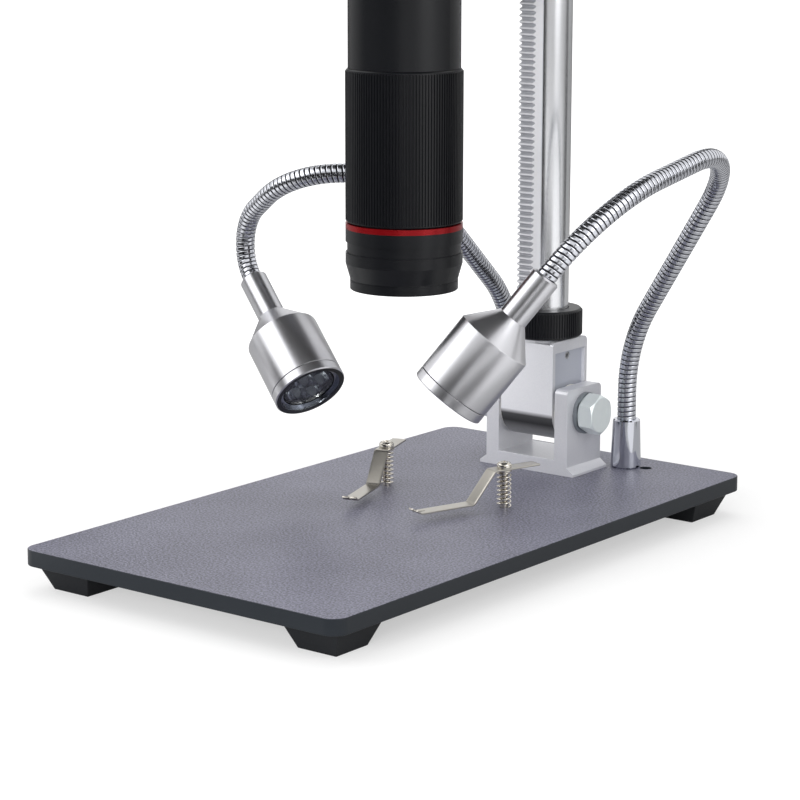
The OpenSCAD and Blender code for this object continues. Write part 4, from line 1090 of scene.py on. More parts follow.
@dataclass
class Column:
    """Column with its rack, cap and clamp collar.

    Attributes:
        bench: Bench with the frame.
        tooth_edge: Rounding of the rack's teeth.
        land: Depth below the teeth's crests where the gaps with painted shade begin.
        gap: Depth of the gaps with painted shade.
        side_x: Normals of the gaps point sideways by less than this.
        rib_edge: Rounding of the collar's ribs.
        cap_edge: Rounding of the cap.
    """

    bench: Bench
    tooth_edge: float = 0.12
    land: float = 0.4
    gap: float = 2.2
    side_x: float = 0.5
    rib_edge: float = 0.1
    cap_edge: float = 0.4

    def build(self) -> None:
        """Dresses the column's pieces."""
        gap_y = self.bench.low("gear_rack").y + self.land

        def in_gap(face: bmesh.types.BMFace) -> bool:
            """True for a face between two teeth of the rack."""
            depth = face.calc_center_median().y - gap_y
            return abs(face.normal.x) < self.side_x and 0 < depth < self.gap

        self.bench.paint(COLUMN_ALUMINIUM, "column")
        # The teeth get a painted reflection of the room, and the gaps between them painted shade.
        self.bench.softened(
            "gear_rack", RACK_STEEL, self.tooth_edge, segments=1, extra=[(RACK_GAP_SHADE, in_gap)]
        )
        self.bench.softened("column_cap", BLACK_ANODISED, self.cap_edge)
        self.bench.softened("clamp_collar", BLACK_ANODISED, self.rib_edge, segments=1)


@dataclass
class Carriage:
    """Carriage on the column with its focus drive, and the arm that carries the barrel.

    Attributes:
        bench: Bench with the frame.
        edge: Rounding of the housings.
        rib_edge: Rounding of the knobs' ribs.
    """

    bench: Bench
    edge: float = 0.6
    rib_edge: float = 0.12

    def build(self) -> None:
        """Builds the housings and dresses the drive."""
        self.bench.softened("carriage_housing", BLACK_ANODISED, self.edge)
        self.bench.softened("head_arm", BLACK_ANODISED, self.edge)
        for knob in ("right_focus_knob", "left_focus_knob", "ring_clamp_screw"):
            self.bench.softened(knob, BLACK_ANODISED, self.rib_edge, segments=1)
        self.bench.paint(BEARING_BRONZE, "carriage_bushes")
        self.bench.paint(PINION_BRASS, "pinion_shaft")
        self.bench.paint(SCREW_STEEL, "arm_screws")


@dataclass
class Barrel:
    """Camera barrel with its focus ring, shroud and optics."""

    bench: Bench

    def build(self) -> None:
        """Dresses the barrel's pieces."""
        self.bench.paint(BARREL_BLACK, "barrel_body", "focus_ring", "lens_shroud")
        self.bench.paint(RED_ANODISED, "red_ring")
        self.bench.paint(OPTICAL_GLASS, "objective_lens")
        self.bench.paint(BOARD_GREEN, "sensor_board")
        self.bench.paint(PINION_BRASS, "lens_cell")
        self.bench.paint(BLACK_ANODISED, "hinge_base")
        self.bench.paint(SCREW_STEEL, "hinge_pin")


@dataclass
class Screen:
    """Hinged screen: housing, panel, board and buttons.

    Attributes:
        bench: Bench with the frame.
        edge: Rounding of the housing.
        button_edge: Rounding of the buttons.
    """

    bench: Bench
    edge: float = 0.9
    button_edge: float = 0.25

    def build(self) -> None:
        """Builds the housing and dresses what it holds."""
        self.bench.softened("rear_cover", ABS_BLACK, self.edge)
        self.bench.softened("screen_bezel", ABS_BLACK, self.edge)
        self.bench.paint(SCREEN_BLACK, "lcd_panel")
        self.bench.paint(BOARD_GREEN, "main_board")
        self.bench.paint(SCREW_STEEL, "cover_screws")
        for key in ("power", "menu", "down", "up"):
            self.bench.softened(f"{key}_button", BUTTON_GREY, self.button_edge)


@dataclass
class ClipScrews:
    """Pan-head screws of both stage clips."""

    bench: Bench
    edge: float = 0.15

    def build(self) -> None:
        """Builds both screws with their edges rounded."""
        self.bench.softened("clip_screws", POLISHED_NICKEL, self.edge)


@dataclass
class StageClip:
    """Sprung clip on the stage: a bent leaf under a pan-head screw, on a coil spring.

    Attributes:
        bench: Bench with the frame.
        side: Side of the stage, right or left.
        screw_x: Distance of the screw from the plate's middle line.
        screw_y: Distance of the screw to the rear of the stage's centre.
        turn: Angle that the leaf's tip turns inwards.
        width: Width of the leaf.
        thickness: Thickness of its strip.
        top: Height of its upper face at the screw.
        low: Height of its upper face on its flat run.
        tail: Length behind the screw.
        level: Length from the screw to the first fold.
        slope: Length of its slope, seen from above.
        flat: Length of its flat run near the stage.
        lip: Length of its raised lip.
        lip_angle: Angle that the lip rises by.
        fold_r: Inner radius of its folds.
        tail_corner: Radius of the tail's corners.
        slot_w: Width of the slot that forks its tip.
        slot_l: Length of the slot.
        edge: Rounding of its edges.
        travel: How far it can be pressed down.
        blank_grid: Faces across and along the blank.
        corner_steps: Steps round a corner of the tail.
        blank_fold: Folds of more degrees than this are rounded on the blank.
        wire_levels: Subdivisions that make the spring's wire round.
    """

    bench: Bench
    side: str
    screw_x: float = 37.5
    screw_y: float = 35.3
    turn: float = 18.3
    width: float = 7.5
    thickness: float = 0.8
    top: float = 20.4
    low: float = 5.0
    tail: float = 20.0
    level: float = 8.0
    slope: float = 12.8
    flat: float = 31.5
    lip: float = 3.0
    lip_angle: float = 35.0
    fold_r: float = 1.2
    tail_corner: float = 1.6
    slot_w: float = 1.2
    slot_l: float = 7.0
    edge: float = 0.12
    travel: float = 4.0
    blank_grid: tuple[int, int] = (6, 150)
    corner_steps: int = 6
    blank_fold: float = 60.0
    wire_levels: int = 2

    def build(self) -> None:
        """Builds the leaf and dresses what lies under it."""
        self.build_leaf()
        self.bench.paint(POLISHED_NICKEL, f"{self.side}_clip_washer")
        self.build_spring()

    def build_spring(self) -> None:
        """Stands a copy of the spring, its wire made round, on the plate."""
        node = f"{self.side}_clip_spring"
        spring = self.bench.piece(
            f"{node}_coil", self.bench.copy_of(node), POLISHED_NICKEL, replaces=[node], body="base"
        )
        spring.data.set_sharp_from_angle(angle=math.pi)
        smooth = spring.modifiers.new("round_wire", "SUBSURF")
        smooth.levels = smooth.render_levels = self.wire_levels
        left_over = 1 - self.travel / self.bench.high(node).z
        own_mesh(spring)

    def route(self) -> Route:
        """Lays out the line of the leaf's top face.

        Returns:
            The line, from the tail's end to the lip's.
        """
        drop = math.degrees(math.atan2(self.top - self.low, self.slope))
        run = math.hypot(self.top - self.low, self.slope)
        outer = self.fold_r + self.thickness
        first = outer * math.tan(math.radians(drop / 2))
        second = self.fold_r * math.tan(math.radians(drop / 2))
        third = self.fold_r * math.tan(math.radians(self.lip_angle / 2))
        # The line starts at the tail's end and runs towards the front, with X pointing down.
        start = Matrix(((0, 1, 0, 0), (0, 0, -1, self.tail), (-1, 0, 0, self.top), (0, 0, 0, 1)))
        return Route(start, (
            Stretch(self.tail + self.level - first, outer, drop, 0),
            Stretch(run - first - second, self.fold_r, drop, 180),
            Stretch(self.flat - second - third, self.fold_r, self.lip_angle, 180),
            Stretch(self.lip - third),
        ))

    def build_leaf(self) -> None:
        """Cuts a flat blank, rounds its corners, gives it its thickness and bends it."""
        route = self.route()
        length = route.length()
        across, along = self.blank_grid
        bm = bmesh.new()
        bmesh.ops.create_grid(bm, x_segments=across, y_segments=along, size=0.5)
        bmesh.ops.scale(bm, vec=(self.width, length, 1), verts=bm.verts)
        bmesh.ops.translate(bm, vec=(0, length / 2, 0), verts=bm.verts)
        # The rows beside the middle one move to the sides of the slot.
        beside_middle = [v for v in bm.verts if NEAR < abs(v.co.x) < self.width / across + NEAR]
        for vert in beside_middle:
            vert.co.x = math.copysign(self.slot_w / 2, vert.co.x)
        slot = [
            f for f in bm.faces
            if abs(f.calc_center_median().x) < self.slot_w / 2
            and f.calc_center_median().y > length - self.slot_l
        ]
        bmesh.ops.delete(bm, geom=slot, context="FACES")
        corners = [v for v in bm.verts if abs(v.co.x) > self.width / 2 - NEAR and v.co.y < NEAR]
        bmesh.ops.bevel(
            bm, geom=corners, offset=self.tail_corner, affect="VERTICES", segments=self.corner_steps,
            profile=0.5, clamp_overlap=False, material=-1,
        )
        flat = bmesh.ops.extrude_face_region(bm, geom=list(bm.faces))
        bmesh.ops.translate(
            bm, vec=(0, 0, -self.thickness),
            verts=[e for e in flat["geom"] if isinstance(e, bmesh.types.BMVert)],
        )
        bmesh.ops.recalc_face_normals(bm, faces=bm.faces)
        round_edges(bm, sharp_edges(bm, self.blank_fold), self.edge)
        for vert in bm.verts:
            aside, distance, height = vert.co
            vert.co = route.place_at(distance) @ Vector((-height, aside, 0))
        bmesh.ops.recalc_face_normals(bm, faces=bm.faces)
        place = (
            Matrix.Translation((self.screw_x, self.screw_y, 0))
            @ Matrix.Rotation(math.radians(-self.turn), 4, "Z")
        )
        if self.side == "left":
            place = Matrix.Scale(-1, 4, (1, 0, 0)) @ place
        self.bench.piece(
            f"{self.side}_clip_leaf_bent", bm, NICKEL_STEEL, replaces=[f"{self.side}_clip_leaf"],
            place=place,
        )


# ------------------------------------------------------------------ lamps on flexible arms


@dataclass
class LampArm:
    """Flexible arm and its lamp, on one side of the plate.

    Distances along the arm count from its lower bend point, above the sleeve. Heights on the lamp
    count from the end of its neck, where the arm enters it.

    Attributes:
        bench: Bench with the frame.
        side: Side of the plate, right or left.
        middle: Runs and bends between the lower and the upper bend point.
        upper: Runs and bends from there to the lamp.
        split: Distance along the arm where one wound piece ends and the next begins.
        tube_r: Radius over the ribs.
        groove: Depth of the grooves between them.
        rib_pitch: Distance from one rib to the next.
        steps_round: Steps of one winding.
        plug: Length of the arm inside the lamp's neck.
        lower_bend: Half of the length over which the arm bends above its sleeve. Not used.
        upper_bend: Half of the length over which it bends near the lamp. Not used.
        rise: Height of the lower bend point above the sleeve.
        sleeve_floor: Height of the floor inside the sleeve, on which the arm stands.
        neck_d: Diameter of the lamp's neck.
        neck_l: Length of the neck.
        neck_edge: Chamfer at its end.
        cone_l: Length of the cone.
        body_d: Diameter of the body.
        body_l: Length of the body.
        shoulder: Steps of the rounding between cone and body, from their corner.
        rim: Chamfer of the body and of the bezel where they meet.
        arm_fit: Clearance round the arm in the neck.
        arm_gap: Clearance beyond the arm's end.
        bore_step: How much smaller than the mouth's radius the radius of the body's bore is.
        joint: Gap between body and bezel.
        bezel_l: Length of the bezel.
        bezel_edge: Chamfer of its outer front edge.
        spigot_l: Length of its spigot inside the body.
        spigot_step: How much smaller than the mouth's radius the radius of the spigot is.
        mouth_d: Diameter of its mouth.
        mouth_edge: Chamfer of the mouth.
        mouth_depth: Depth of the mouth's step.
        lens_d: Diameter of the lens.
        lens_fit: Clearance round the lens.
        lens_sunk: Depth of the lens's face below the bezel's front.
        lens_t: Thickness of its disc.
        lens_edge: Chamfer of its face.
        seat: Depth of the chips' floor below the body's open end.
        lobes: Number of lobes and of chips.
        lobe_r: Radius of a lobe.
        lobe_share: Distance of a lobe from the lamp's axis, as a share of the lens's diameter.
        chip_size: Width, length and height of a chip.
    """

    bench: Bench
    side: str
    middle: tuple[Stretch, ...]
    upper: tuple[Stretch, ...]
    split: float
    tube_r: float = 5.0
    groove: float = 0.5
    rib_pitch: float = 2.6
    steps_round: int = 26
    plug: float = 11.0
    lower_bend: float = 9.0
    upper_bend: float = 22.0
    rise: float = 10.0
    sleeve_floor: float = 4.0
    neck_d: float = 14.4
    neck_l: float = 25.0
    neck_edge: float = 0.8
    cone_l: float = 13.5
    body_d: float = 38.0
    body_l: float = 31.0
    shoulder: tuple[Point, ...] = ((-0.6, -0.25), (-0.15, 0.1), (0.0, 0.6))
    rim: float = 0.15
    arm_fit: float = 0.1
    arm_gap: float = 1.5
    bore_step: float = 1.0
    joint: float = 0.3
    bezel_l: float = 5.0
    bezel_edge: float = 0.5
    spigot_l: float = 3.5
    spigot_step: float = 1.05
    mouth_d: float = 32.0
    mouth_edge: float = 0.3
    mouth_depth: float = 2.2
    lens_d: float = 27.6
    lens_fit: float = 0.3
    lens_sunk: float = 2.4
    lens_t: float = 2.2
    lens_edge: float = 0.3
    seat: float = 12.0
    lobes: int = 4
    lobe_r: float = 5.6
    lobe_share: float = 0.245
    chip_size: tuple[float, float, float] = (2.2, 2.2, 0.8)
    route: Route = field(init=False)

    def __post_init__(self) -> None:
        """Finds the arm's route from its sleeve."""
        foot = f"{self.side}_gooseneck_lower"
        middle = (self.bench.low(foot) + self.bench.high(foot)) / 2
        self.start_z = self.bench.high("gooseneck_sleeves").z + self.rise
        start = Matrix.Translation((middle.x, middle.y, self.start_z))
        self.route = Route(start, self.middle + self.upper)
        self.joint_at = sum(s.length() for s in self.middle)

    @property
    def body_end(self) -> float:
        """Returns the height of the body's open end."""
        return self.neck_l + self.cone_l + self.body_l

    @property
    def bezel_front(self) -> float:
        """Returns the height of the bezel's front."""
        return self.body_end + self.joint + self.bezel_l

    def wound_tube(self, start: float, end: float) -> bmesh.types.BMesh:
        """Winds the ribbed tube between two distances along the route and bends it.

        Args:
            start: Distance where the tube starts; negative below the lower bend point.
            end: Distance where it ends.

        Returns:
            The bent tube.
        """
        # The winding starts before the tube and ends after it, and is then cut to length.
        turns = math.ceil((end - start) / self.rib_pitch) + 3
        first = math.floor(start / self.rib_pitch - 1) * self.rib_pitch
        deep, crown = self.tube_r - self.groove, self.tube_r
        # Radius, and height as a share of the pitch, from the groove up the flank to the crown.
        half = [(deep, 0.0), (deep + 0.06, 0.05), (crown - 0.1, 0.12), (crown, 0.2), (crown, 0.26)]
        section = half + [(radius, 1 - share) for radius, share in reversed(half)]
        bm = bmesh.new()
        verts = [bm.verts.new((r, 0.0, first + share * self.rib_pitch)) for r, share in section]
        edges = [bm.edges.new(pair) for pair in zip(verts, verts[1:])]
        bmesh.ops.spin(
            bm, geom=verts + edges, cent=(0, 0, 0), axis=(0, 0, 1),
            dvec=(0, 0, self.rib_pitch / self.steps_round), angle=math.tau,
            steps=self.steps_round, use_merge=False, use_normal_flip=False, use_duplicate=False,
        )
        winding = bpy.data.meshes.new("winding")
        bm.to_mesh(winding)
        for _ in range(turns - 1):
            winding.transform(Matrix.Translation((0, 0, self.rib_pitch)))
            bm.from_mesh(winding)
        bpy.data.meshes.remove(winding)
        tidy(bm, NEAR)
        for height, side in ((start, -1), (end, 1)):
            geometry = list(bm.verts) + list(bm.edges) + list(bm.faces)
            bmesh.ops.bisect_plane(
                bm, geom=geometry, dist=0.0001, plane_co=(0, 0, height), plane_no=(0, 0, side),
                clear_outer=True,
            )
        bmesh.ops.holes_fill(bm, edges=[e for e in bm.edges if e.is_boundary])
        bmesh.ops.recalc_face_normals(bm, faces=bm.faces)
        # The groove's floor and the foot of its flanks get the second finish, painted shade; the end faces
        # don't.
        for face in bm.faces:
            middle = face.calc_center_median()
            if deep - 0.5 < math.hypot(middle.x, middle.y) < deep + 0.2:
                face.material_index = 1
        for vert in bm.verts:
            around = Vector((vert.co.x, vert.co.y, 0))
            vert.co = self.route.place_at(vert.co.z) @ around
        return bm

    def blended(
        self,
        name: str,
        bm: bmesh.types.BMesh,
        at: float,
        replaces: Sequence[str],
    ) -> None:
        """Makes a bent tube that rides on no body.

        Args:
            name: Name of the piece.
            bm: Its bent mesh, which is freed.
            at: Distance along the arm of a point whose place is found and then not used.
            replaces: CAD nodes that it stands for.
        """
        piece = self.bench.piece(name, bm, GOOSENECK_STEEL, replaces=replaces, rides=False)
        # The grooves get painted shade.
        piece.data.materials.append(GOOSENECK_GROOVE_SHADE.material())
        bend = self.route.place_at(at)
        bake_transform(piece)

    def build(self) -> None:
        """Builds the arm and the lamp."""
        side = self.side
        self.blended(
            f"{side}_gooseneck_lower_run",
            self.wound_tube(self.sleeve_floor - self.start_z, self.split),
            at=0.0,
            replaces=[f"{side}_gooseneck_lower", f"{side}_gooseneck_middle"],
        )
        self.blended(
            f"{side}_gooseneck_upper_run",
            self.wound_tube(self.split, self.route.length() + self.plug),
            at=self.joint_at,
            replaces=[f"{side}_gooseneck_upper"],
        )
        self.build_lamp()

    def build_lamp(self) -> None:
        """Builds the lamp's turned head, bezel and optics."""
        place = self.route.place_at(self.route.length())
        axis = Axis(tuple(place.to_translation()), tuple(place.col[2].to_3d()))
        finish = lamp_aluminium(f"turned_aluminium_{self.side}_lamp", axis)
        self.build_head(place, finish)
        self.build_bezel(place, finish)
        self.build_optics(place)

    def build_head(self, place: Matrix, finish: Finish) -> None:
        """Turns the neck, cone and body, bored for the arm and for the optics.

        Args:
            place: Place of the neck's end.
            finish: Finish of the lamp.
        """
        neck_r, body_r = self.neck_d / 2, self.body_d / 2
        body_z, end_z = self.neck_l + self.cone_l, self.body_end
        seat_z = end_z - self.seat
        bore_r = self.mouth_d / 2 - self.bore_step
        arm_r, arm_z = self.tube_r + self.arm_fit, self.plug + self.arm_gap
        section = [
            (0, arm_z), (arm_r, arm_z), (arm_r, 0), (neck_r - self.neck_edge, 0),
            (neck_r, self.neck_edge), (neck_r, self.neck_l),
            *((body_r + aside, body_z + up) for aside, up in self.shoulder),
            (body_r, end_z - self.rim), (body_r - self.rim, end_z), (bore_r, end_z), (bore_r, seat_z),
            (0, seat_z),
        ]
        self.bench.piece(
            f"{self.side}_lamp_head_turned", turned_solid(section), finish,
            replaces=[f"{self.side}_lamp_head"], place=place,
            # The bore and the chips' floor get painted shade.
            extra=[(LAMP_BORE_SHADE, lambda face: in_bore(face, bore_r, seat_z))],
        )

    def build_bezel(self, place: Matrix, finish: Finish) -> None:
        """Turns the bezel: bright outside, with a black front and a stepped mouth.

        Args:
            place: Place of the neck's end.
            finish: Finish of the lamp.
        """
        back, front = self.body_end + self.joint, self.bezel_front
        spigot_z, step_z = back - self.spigot_l, front - self.mouth_depth
        body_r, mouth_r = self.body_d / 2, self.mouth_d / 2
        bore_r = self.lens_d / 2 + self.lens_fit
        spigot_r = mouth_r - self.spigot_step
        section = [
            (bore_r, spigot_z), (spigot_r, spigot_z), (spigot_r, back), (body_r - self.rim, back),
            (body_r, back + self.rim), (body_r, front - self.bezel_edge), (body_r - self.bezel_edge, front),
            (mouth_r + self.mouth_edge, front), (mouth_r, front - self.mouth_edge), (mouth_r, step_z),
            (bore_r, step_z), (bore_r, spigot_z),
        ]

        def on_front(face: bmesh.types.BMFace) -> bool:
            """True on the flat front and on the chamfer inside it."""
            on_flat = face.calc_center_median().z > front - NEAR
            return on_flat or in_bore(face, mouth_r + self.mouth_edge, front - self.mouth_edge)

        self.bench.piece(
            f"{self.side}_lamp_bezel_turned", turned_solid(section), finish,
            replaces=[f"{self.side}_lamp_bezel"], place=place,
            extra=[
                (LAMP_FRONT, on_front),
                (LAMP_STEP, lambda face: in_bore(face, mouth_r, step_z)),
                # The bore behind the lens gets painted shade.
                (LAMP_BORE_SHADE, lambda face: in_bore(face, bore_r, spigot_z)),
            ],
        )

    def build_optics(self, place: Matrix) -> None:
        """Builds the four-lobed lens and the chips behind it.

        Args:
            place: Place of the neck's end.
        """
        lens_r = self.lens_d / 2
        front = self.bezel_front - self.lens_sunk
        back = front - self.lens_t
        lens = turned_solid([
            (0, front), (lens_r - self.lens_edge, front), (lens_r, front - self.lens_edge),
            (lens_r, back), (0, back),
        ], steps=96)
        seat = self.body_end - self.seat
        board_r, board_low, board_top = lens_r - self.lens_edge, seat + 0.05, seat + 0.8
        chips = turned_solid([
            (0, board_top), (board_r, board_top), (board_r, board_low), (0, board_low),
        ], steps=64)
        # A lobe stands just behind the disc and narrows to a dished foot over its chip.
        lobe_top = back - 0.1
        lobe_profile = [
            (0, lobe_top), (self.lobe_r, lobe_top), (self.lobe_r * 0.86, front - 6),
            (self.lobe_r * 0.45, seat + 3.2), (self.lobe_r * 0.3, seat + 2.4), (0, seat + 4.0),
        ]
        chip_middle = board_top + self.chip_size[2] / 2
        for number in range(self.lobes):
            spin = Matrix.Rotation(math.tau * (number + 0.5) / self.lobes, 4, "Z")
            aside = spin @ Matrix.Translation((self.lens_d * self.lobe_share, 0, 0))
            lobe = turned_solid(lobe_profile, steps=40)
            bmesh.ops.transform(lobe, matrix=aside, verts=lobe.verts)
            join(lens, lobe)
            chip = bmesh.new()
            bmesh.ops.create_cube(chip, size=1)
            bmesh.ops.scale(chip, vec=self.chip_size, verts=chip.verts)
            bmesh.ops.transform(
                chip, matrix=aside @ Matrix.Translation((0, 0, chip_middle)), verts=chip.verts
            )
            join(chips, chip)
        self.bench.piece(
            f"{self.side}_lamp_lobed_lens", lens, LENS_ACRYLIC, replaces=[f"{self.side}_lamp_lens"],
            place=place,
        )
        self.bench.piece(
            f"{self.side}_lamp_chips", chips, CHIP_BOARD, body=f"{self.side}_lamp", place=place,
            extra=[(CHIP_PHOSPHOR, lambda face: face.calc_center_median().z > board_top + NEAR)],
        )


# ------------------------------------------------------------------ studio


@dataclass(frozen=True)
class Softbox:
    """Rectangular lamp that faces the part.

    Attributes:
        name: Its name.
        bearing: Bearing from the part, counted from +X towards +Y.
        height: Height in metres.
        distance: Distance from the part's middle line in metres.
        size: Width and height in metres.
        power: Power in watts.
        reflected: Whether the metals reflect it.
    """

    name: str
    bearing: float
    height: float
    distance: float
    size: tuple[float, float]
    power: float
    reflected: bool

    def place(self) -> tuple[float, float, float]:
        """Returns where it hangs, in metres."""
        angle = math.radians(self.bearing)
        return self.distance * math.cos(angle), self.distance * math.sin(angle), self.height


@dataclass(frozen=True)
class Card:
    """Curved card that stands or lies round the part and that only reflections show.

    Attributes:
        name: Its name.
        first: Bearing where it starts, counted from +X towards +Y.
        last: Bearing where it ends.
        inner: Radius and height of its first edge.
        outer: Radius and height of its second edge.
        shade: Reflectance, from 0 for black to 1 for white.
        steps: Steps along its curve.
    """

    name: str
    first: float
    last: float
    inner: Point
    outer: Point
    shade: float
    steps: int = 24

    def mesh(self) -> bmesh.types.BMesh:
        """Sweeps the card from its first bearing to its last.

        Returns:
            The card's mesh.
        """
        bm = bmesh.new()
        verts = [bm.verts.new((radius, 0.0, height)) for radius, height in (self.inner, self.outer)]
        edge = bm.edges.new(verts)
        start = Matrix.Rotation(math.radians(self.first), 3, "Z")
        bmesh.ops.rotate(bm, cent=(0, 0, 0), matrix=start, verts=verts)
        sweep = self.last - self.first
        bmesh.ops.spin(
            bm, geom=verts + [edge], cent=(0, 0, 0), axis=(0, 0, 1), dvec=(0, 0, 0),
            angle=math.radians(sweep), steps=self.steps, use_merge=sweep == 360,
            use_normal_flip=False, use_duplicate=False,
        )
        tidy(bm)
        return bm


@dataclass
class Studio:
    """Floor, light and camera.

    Attributes:
        camera_place: Where the camera stands.
        camera_turn: Its turns about X, Y and Z.
        lens_mm: Its focal length.
        sensor_mm: Width of its sensor.
        view_end: How far it sees, in metres.
        room_light: Strength of the room's light on the part; to the eye the room is 1, white.
        floor_z: Height of the floor, under the feet.
        floor_half: Half of the floor's width.
        floor_gap: Gap between the feet and the floor.
        floor_paint: Reflectance of the floor, which catches the shadow.
        near_lift: Glow of the floor under the part, for the camera alone.
        far_lift: Its glow away from the part, where it turns white.
        fade: Distances from the part in metres between which one turns into the other.
        aim: Point in metres that the lamps face.
        softboxes: The lamps.
        cards: The cards that give the metals their dark and bright bands.
    """

    camera_place: tuple[float, float, float] = (783.37, -1009.31, 327.87)
    camera_turn: tuple[float, float, float] = (77.985, -0.071, 37.877)
    lens_mm: float = 118.4
    sensor_mm: float = 36.0
    view_end: float = 50.0
    room_light: float = 0.6
    floor_z: float = -21.0
    floor_half: float = 8000.0
    floor_gap: float = 0.05
    floor_paint: float = 0.5
    near_lift: float = 0.5
    far_lift: float = 0.95
    fade: tuple[float, float] = (0.2, 0.75)
    aim: tuple[float, float, float] = (0.0, 0.05, 0.1)
    softboxes: tuple[Softbox, ...] = (
        Softbox("key_softbox", -135.0, 1.1, 1.3, (1.5, 1.15), 7.5, True),
        Softbox("front_softbox", -75.0, 0.4, 1.6, (1.0, 0.7), 21.0, False),
        Softbox("side_softbox", -5.0, 0.75, 1.5, (0.9, 1.2), 7.0, True),
        Softbox("top_softbox", 120.0, 1.0, 0.5, (1.0, 1.0), 3.5, False),
    )
    cards: tuple[Card, ...] = (
        Card("front_near_cloth", -112.0, -20.0, (250.0, -19.0), (1000.0, -19.0), 0.02),
        Card("front_far_cloth", -152.0, -62.0, (1000.0, -19.0), (1500.0, -19.0), 0.01),
        Card("front_left_wall", -152.0, -62.0, (1500.0, -19.0), (1500.0, 420.0), 0.01),
        Card("front_wall", -100.0, -30.0, (1500.0, 420.0), (1500.0, 700.0), 0.01),
        Card("front_left_card", -165.0, -120.0, (235.0, -19.0), (560.0, -19.0), 0.95),
        Card("front_left_cloth", -156.0, -112.0, (560.0, -19.0), (1000.0, -19.0), 0.2),
        Card("right_near_card", -14.0, 32.0, (210.0, -19.0), (1000.0, -19.0), 0.95),
        Card("right_far_card", -58.0, 30.0, (1000.0, -19.0), (2200.0, -19.0), 0.95),
        Card("rear_right_cloth", 42.0, 52.0, (380.0, -19.0), (1300.0, -19.0), 0.02),
        Card("rear_right_wall", 42.0, 52.0, (1300.0, -19.0), (1300.0, 420.0), 0.02),
        Card("rear_wall", 100.0, 112.0, (1200.0, -19.0), (1200.0, 1500.0), 0.01),
        Card("rear_left_wall", 144.0, 156.0, (1200.0, -19.0), (1200.0, 1500.0), 0.01),
        Card("ceiling", -180.0, 180.0, (0.0, 1500.0), (900.0, 1500.0), 0.03),
    )

    def build(self) -> None:
        """Builds the whole studio."""
        self.build_world()
        self.build_floor()
        self.build_lights()
        self.build_camera()

    def build_camera(self) -> None:
        """Places the camera."""
        data = bpy.data.cameras.new("camera")
        data.lens = self.lens_mm
        data.sensor_width = self.sensor_mm
        data.clip_end = self.view_end
        camera = bpy.data.objects.new("camera", data)
        camera.location = Vector(self.camera_place) * MM
        camera.rotation_euler = [math.radians(a) for a in self.camera_turn]
        bpy.context.scene.collection.objects.link(camera)
        bpy.context.scene.camera = camera

    def build_world(self) -> None:
        """Lights the room evenly; the backdrop is white to the eye and in metal and glass."""
        world = bpy.data.worlds.new("white_room")
        bpy.context.scene.world = world
        world.use_nodes = True
        # Without this, light from the room would shine through the cards on to the metals.
        world.cycles.sampling_method = "NONE"
        tree = world.node_tree
        tree.nodes.clear()
        path = add_node(tree, "ShaderNodeLightPath")
        seen = add_node(
            tree, "ShaderNodeMath", {"operation": "MAXIMUM"},
            {0: path.outputs["Is Camera Ray"], 1: path.outputs["Is Glossy Ray"]},
        )
        clear = add_node(
            tree, "ShaderNodeMath", {"operation": "MAXIMUM"},
            {0: seen.outputs[0], 1: path.outputs["Is Transmission Ray"]},
        )
        strength = add_node(
            tree, "ShaderNodeMapRange", {"To Min": self.room_light, "To Max": 1.0},
            {"Value": clear.outputs[0]},
        )
        light = add_node(
            tree, "ShaderNodeBackground", {"Color": (1.0, 1.0, 1.0, 1.0)},
            {"Strength": strength.outputs["Result"]},
        )
        add_node(tree, "ShaderNodeOutputWorld", links={"Surface": light.outputs["Background"]})

    def stage_object(
        self, name: str, bm: bmesh.types.BMesh, material: bpy.types.Material
    ) -> bpy.types.Object:
        """Makes a stage object from a mesh in millimetres.

        Args:
            name: Name of the object.
            bm: Its mesh, which is freed.
            material: Its material.

        Returns:
            The object.
        """
        bmesh.ops.scale(bm, vec=(MM,) * 3, verts=bm.verts)
        mesh = bpy.data.meshes.new(name)
        bm.to_mesh(mesh)
        bm.free()
        mesh.materials.append(material)
        made = bpy.data.objects.new(name, mesh)
        bpy.context.scene.collection.objects.link(made)
        return made

    def build_floor(self) -> None:
        """Lays a pale floor that turns white away from the part and keeps the shadow near it."""
        material = bpy.data.materials.new("pale_floor")
        material.use_nodes = True
        tree = material.node_tree
        tree.nodes.clear()
        paint = add_node(tree, "ShaderNodeBsdfDiffuse", {"Color": (*[self.floor_paint] * 3, 1.0)})
        path = add_node(tree, "ShaderNodeLightPath")
        place = add_node(tree, "ShaderNodeTexCoord").outputs["Object"]
        away = add_node(tree, "ShaderNodeVectorMath", {"operation": "LENGTH"}, {0: place})
        near, far = self.fade
        lift = add_node(
            tree, "ShaderNodeMapRange",
            {"From Min": near, "From Max": far, "To Min": self.near_lift, "To Max": self.far_lift},
            {"Value": away.outputs["Value"]},
        )
        seen = add_node(
            tree, "ShaderNodeMath", {"operation": "MULTIPLY"},
            {0: path.outputs["Is Camera Ray"], 1: lift.outputs["Result"]},
        )
        glow = add_node(
            tree, "ShaderNodeEmission", {"Color": (1.0, 1.0, 1.0, 1.0)}, {"Strength": seen.outputs[0]}
        )
        both = add_node(
            tree, "ShaderNodeAddShader", links={0: paint.outputs["BSDF"], 1: glow.outputs["Emission"]}
        )
        add_node(tree, "ShaderNodeOutputMaterial", links={"Surface": both.outputs["Shader"]})
        bm = bmesh.new()
        bmesh.ops.create_grid(bm, x_segments=2, y_segments=2, size=self.floor_half)
        bmesh.ops.translate(bm, vec=(0, 0, self.floor_z - self.floor_gap), verts=bm.verts)
        self.stage_object("floor", bm, material)

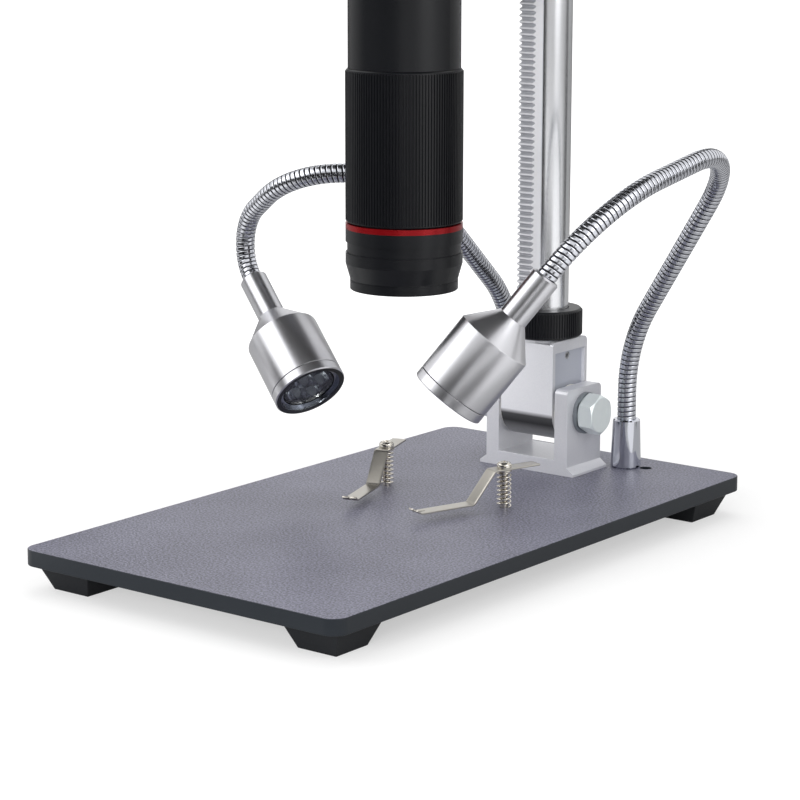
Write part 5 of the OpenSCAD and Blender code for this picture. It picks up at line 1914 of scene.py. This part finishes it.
    def build_lights(self) -> None:
        """Hangs the soft boxes and sets up the cards."""
        for softbox in self.softboxes:
            data = bpy.data.lights.new(softbox.name, "AREA")
            data.shape = "RECTANGLE"
            data.size, data.size_y = softbox.size
            data.energy = softbox.power
            light = bpy.data.objects.new(softbox.name, data)
            light.location = softbox.place()
            towards = Vector(self.aim) - light.location
            light.rotation_euler = towards.to_track_quat("-Z", "Y").to_euler()
            light.visible_glossy = softbox.reflected
            bpy.context.scene.collection.objects.link(light)
        for card in self.cards:
            self.build_card(card)

    def build_card(self, card: Card) -> None:
        """Sets up a card and hides it from everything but reflections.

        Args:
            card: The card.
        """
        material = bpy.data.materials.new(card.name)
        material.use_nodes = True
        tree = material.node_tree
        tree.nodes.clear()
        felt = add_node(tree, "ShaderNodeBsdfDiffuse", {"Color": (*[card.shade] * 3, 1.0)})
        add_node(tree, "ShaderNodeOutputMaterial", links={"Surface": felt.outputs["BSDF"]})
        made = self.stage_object(card.name, card.mesh(), material)
        made.visible_camera = False
        made.visible_diffuse = False
        made.visible_transmission = False
        made.visible_shadow = False


def build_lamp_arms(bench: Bench) -> None:
    """Builds both flexible arms, each bent in its own way.

    Args:
        bench: Bench with the frame.
    """
    right = LampArm(
        bench,
        "right",
        middle=(
            Stretch(run=5.0, radius=83.0, angle=34.3, direction=-11.0),
            Stretch(run=70.0, radius=41.0, angle=95.5, direction=-89.0),
            Stretch(run=15.0),
        ),
        upper=(Stretch(run=15.5, radius=81.0, angle=55.5, direction=-88.5),),
        split=125.0,
    )
    left = LampArm(
        bench,
        "left",
        middle=(
            Stretch(run=8.0, radius=67.0, angle=52.3, direction=-83.0),
            Stretch(run=74.5, radius=49.0, angle=126.8, direction=204.3),
            Stretch(run=6.0),
        ),
        upper=(Stretch(run=5.5, radius=24.0, angle=104.5, direction=271.0),),
        split=200.0,
    )
    right.build()
    left.build()


def main() -> None:
    """Builds the microscope and the studio."""
    logging.basicConfig(level=logging.INFO, format="%(name)s: %(message)s")
    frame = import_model()
    bench = Bench(frame)
    scene = bpy.context.scene
    scene.view_settings.view_transform = "Standard"

    Studio().build()
    for part in (
        Base(bench),
        StandBracket(bench),
        Column(bench),
        Carriage(bench),
        Barrel(bench),
        Screen(bench),
        StageClip(bench, "right"),
        StageClip(bench, "left"),
        ClipScrews(bench),
    ):
        part.build()
    build_lamp_arms(bench)


if __name__ == "__main__":
    main()
